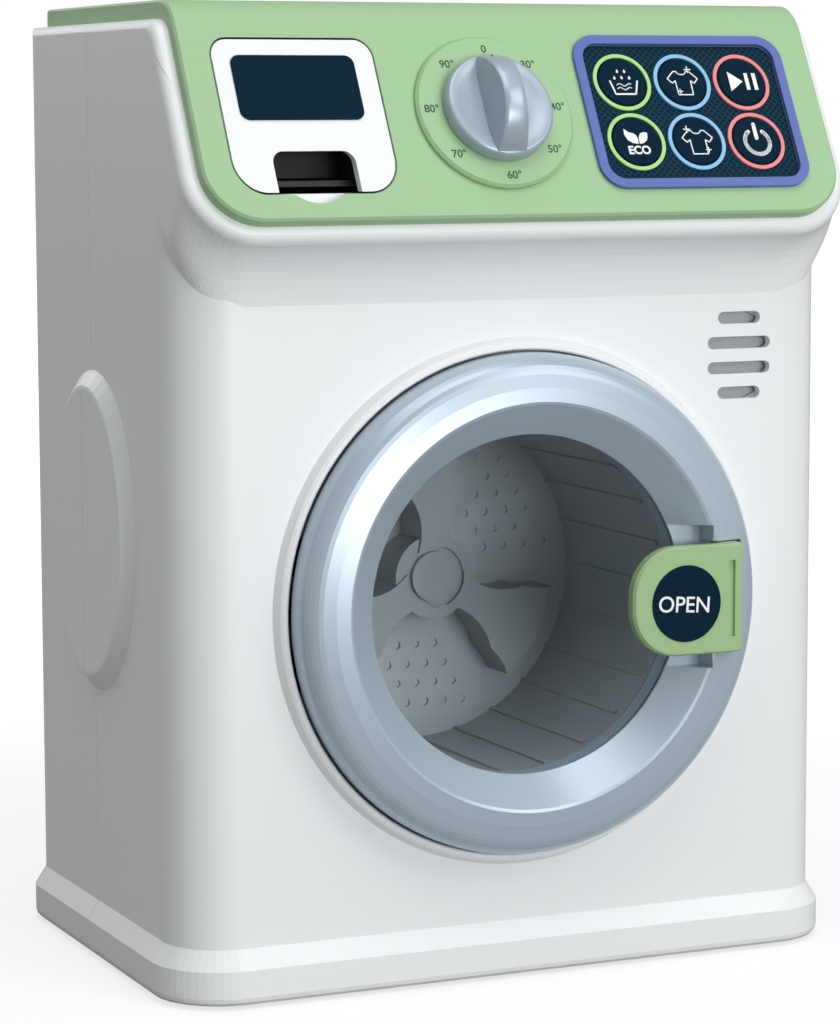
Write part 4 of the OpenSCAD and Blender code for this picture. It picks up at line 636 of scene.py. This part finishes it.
def stage():
    """Pale floor that keeps the part's shadow and fades to white for the camera."""
    r = FLOOR_REACH
    floor_data = bpy.data.meshes.new("floor")
    floor_data.from_pydata([(-r, -r, 0), (r, -r, 0), (r, r, 0), (-r, r, 0)], [], [(0, 1, 2, 3)])
    floor = bpy.data.objects.new("floor", floor_data)
    bpy.context.scene.collection.objects.link(floor)
    m, tree, shader = new_material("pale floor")
    shader.inputs["Base Color"].default_value = (FLOOR_SHADE, FLOOR_SHADE, FLOOR_SHADE, 1)
    shader.inputs["Roughness"].default_value = 0.9
    shader.inputs["Specular IOR Level"].default_value = 0.0
    ray = tree.nodes.new("ShaderNodeLightPath")
    place = tree.nodes.new("ShaderNodeTexCoord")
    away = tree.nodes.new("ShaderNodeVectorMath")
    away.operation = "LENGTH"
    tree.links.new(place.outputs["Object"], away.inputs[0])
    fade = tree.nodes.new("ShaderNodeMapRange")
    fade.inputs["From Min"].default_value = FLOOR_FADE_FROM
    fade.inputs["From Max"].default_value = FLOOR_FADE_TO
    fade.inputs["To Min"].default_value = FLOOR_GLOW_NEAR
    fade.inputs["To Max"].default_value = FLOOR_GLOW_FAR
    tree.links.new(away.outputs["Value"], fade.inputs["Value"])
    glow = tree.nodes.new("ShaderNodeMath")
    glow.operation = "MULTIPLY"
    tree.links.new(fade.outputs["Result"], glow.inputs[1])
    tree.links.new(ray.outputs["Is Camera Ray"], glow.inputs[0])
    shader.inputs["Emission Color"].default_value = (1, 1, 1, 1)
    tree.links.new(glow.outputs["Value"], shader.inputs["Emission Strength"])
    floor.data.materials.append(m)


def backdrop():
    """Even dim sky, white where the camera sees it."""
    world = bpy.data.worlds.new("studio")
    bpy.context.scene.world = world
    world.use_nodes = True
    sky = world.node_tree
    back = sky.nodes["Background"]
    back.inputs["Color"].default_value = (1, 1, 1, 1)
    back.inputs["Strength"].default_value = WORLD_GLOW
    white_for_camera(sky, back.outputs["Background"], sky.nodes["World Output"].inputs["Surface"])


def lights():
    """The soft lamps."""
    for name, place, width, height, power in LAMPS:
        data = bpy.data.lights.new(name, "AREA")
        data.energy = power
        data.shape = "RECTANGLE"
        data.size = width
        data.size_y = height
        lamp = bpy.data.objects.new(name, data)
        lamp.location = place
        lamp.rotation_mode = "QUATERNION"
        lamp.rotation_quaternion = (Vector(place) - LAMP_TARGET).to_track_quat("Z", "Y")
        bpy.context.scene.collection.objects.link(lamp)


# Place of the camera from the plane of the cabinet's front face, in millimetres, its turns in
# degrees, and its focal length in pixels of the picture's long side
HANDLE_OUT = 17.5
CAMERA_X, CAMERA_AHEAD, CAMERA_Z = -376.8, 776.8, 224.75
CAMERA_YAW = 24.17
CAMERA_PITCH = 6.79
CAMERA_ROLL = -0.18
FOCAL_PIXELS = 3378
LONG_SIDE_PIXELS = 1024
SENSOR_MM = 36


def camera():
    """Camera at the photograph's place."""
    data = bpy.data.cameras.new("camera")
    data.sensor_width = SENSOR_MM
    data.lens = FOCAL_PIXELS * data.sensor_width / LONG_SIDE_PIXELS
    data.clip_start = 0.05
    data.clip_end = 50
    obj = bpy.data.objects.new("camera", data)
    turn = Matrix.Rotation(math.radians(-CAMERA_YAW), 4, "Z")
    nod = Matrix.Rotation(math.radians(90 - CAMERA_PITCH), 4, "X")
    roll = Matrix.Rotation(math.radians(CAMERA_ROLL), 4, "Z")
    place = Vector((CAMERA_X * MM, cad_low.y + (HANDLE_OUT - CAMERA_AHEAD) * MM, CAMERA_Z * MM))
    obj.matrix_world = Matrix.Translation(place) @ turn @ nod @ roll
    bpy.context.scene.collection.objects.link(obj)
    bpy.context.scene.camera = obj


dress_nodes()
dial_numbers()
knob_look()
button_icons()
handle_word()
stage()
backdrop()
lights()
camera()
bpy.context.scene.view_settings.view_transform = "Standard"

bpy.context.view_layer.update()
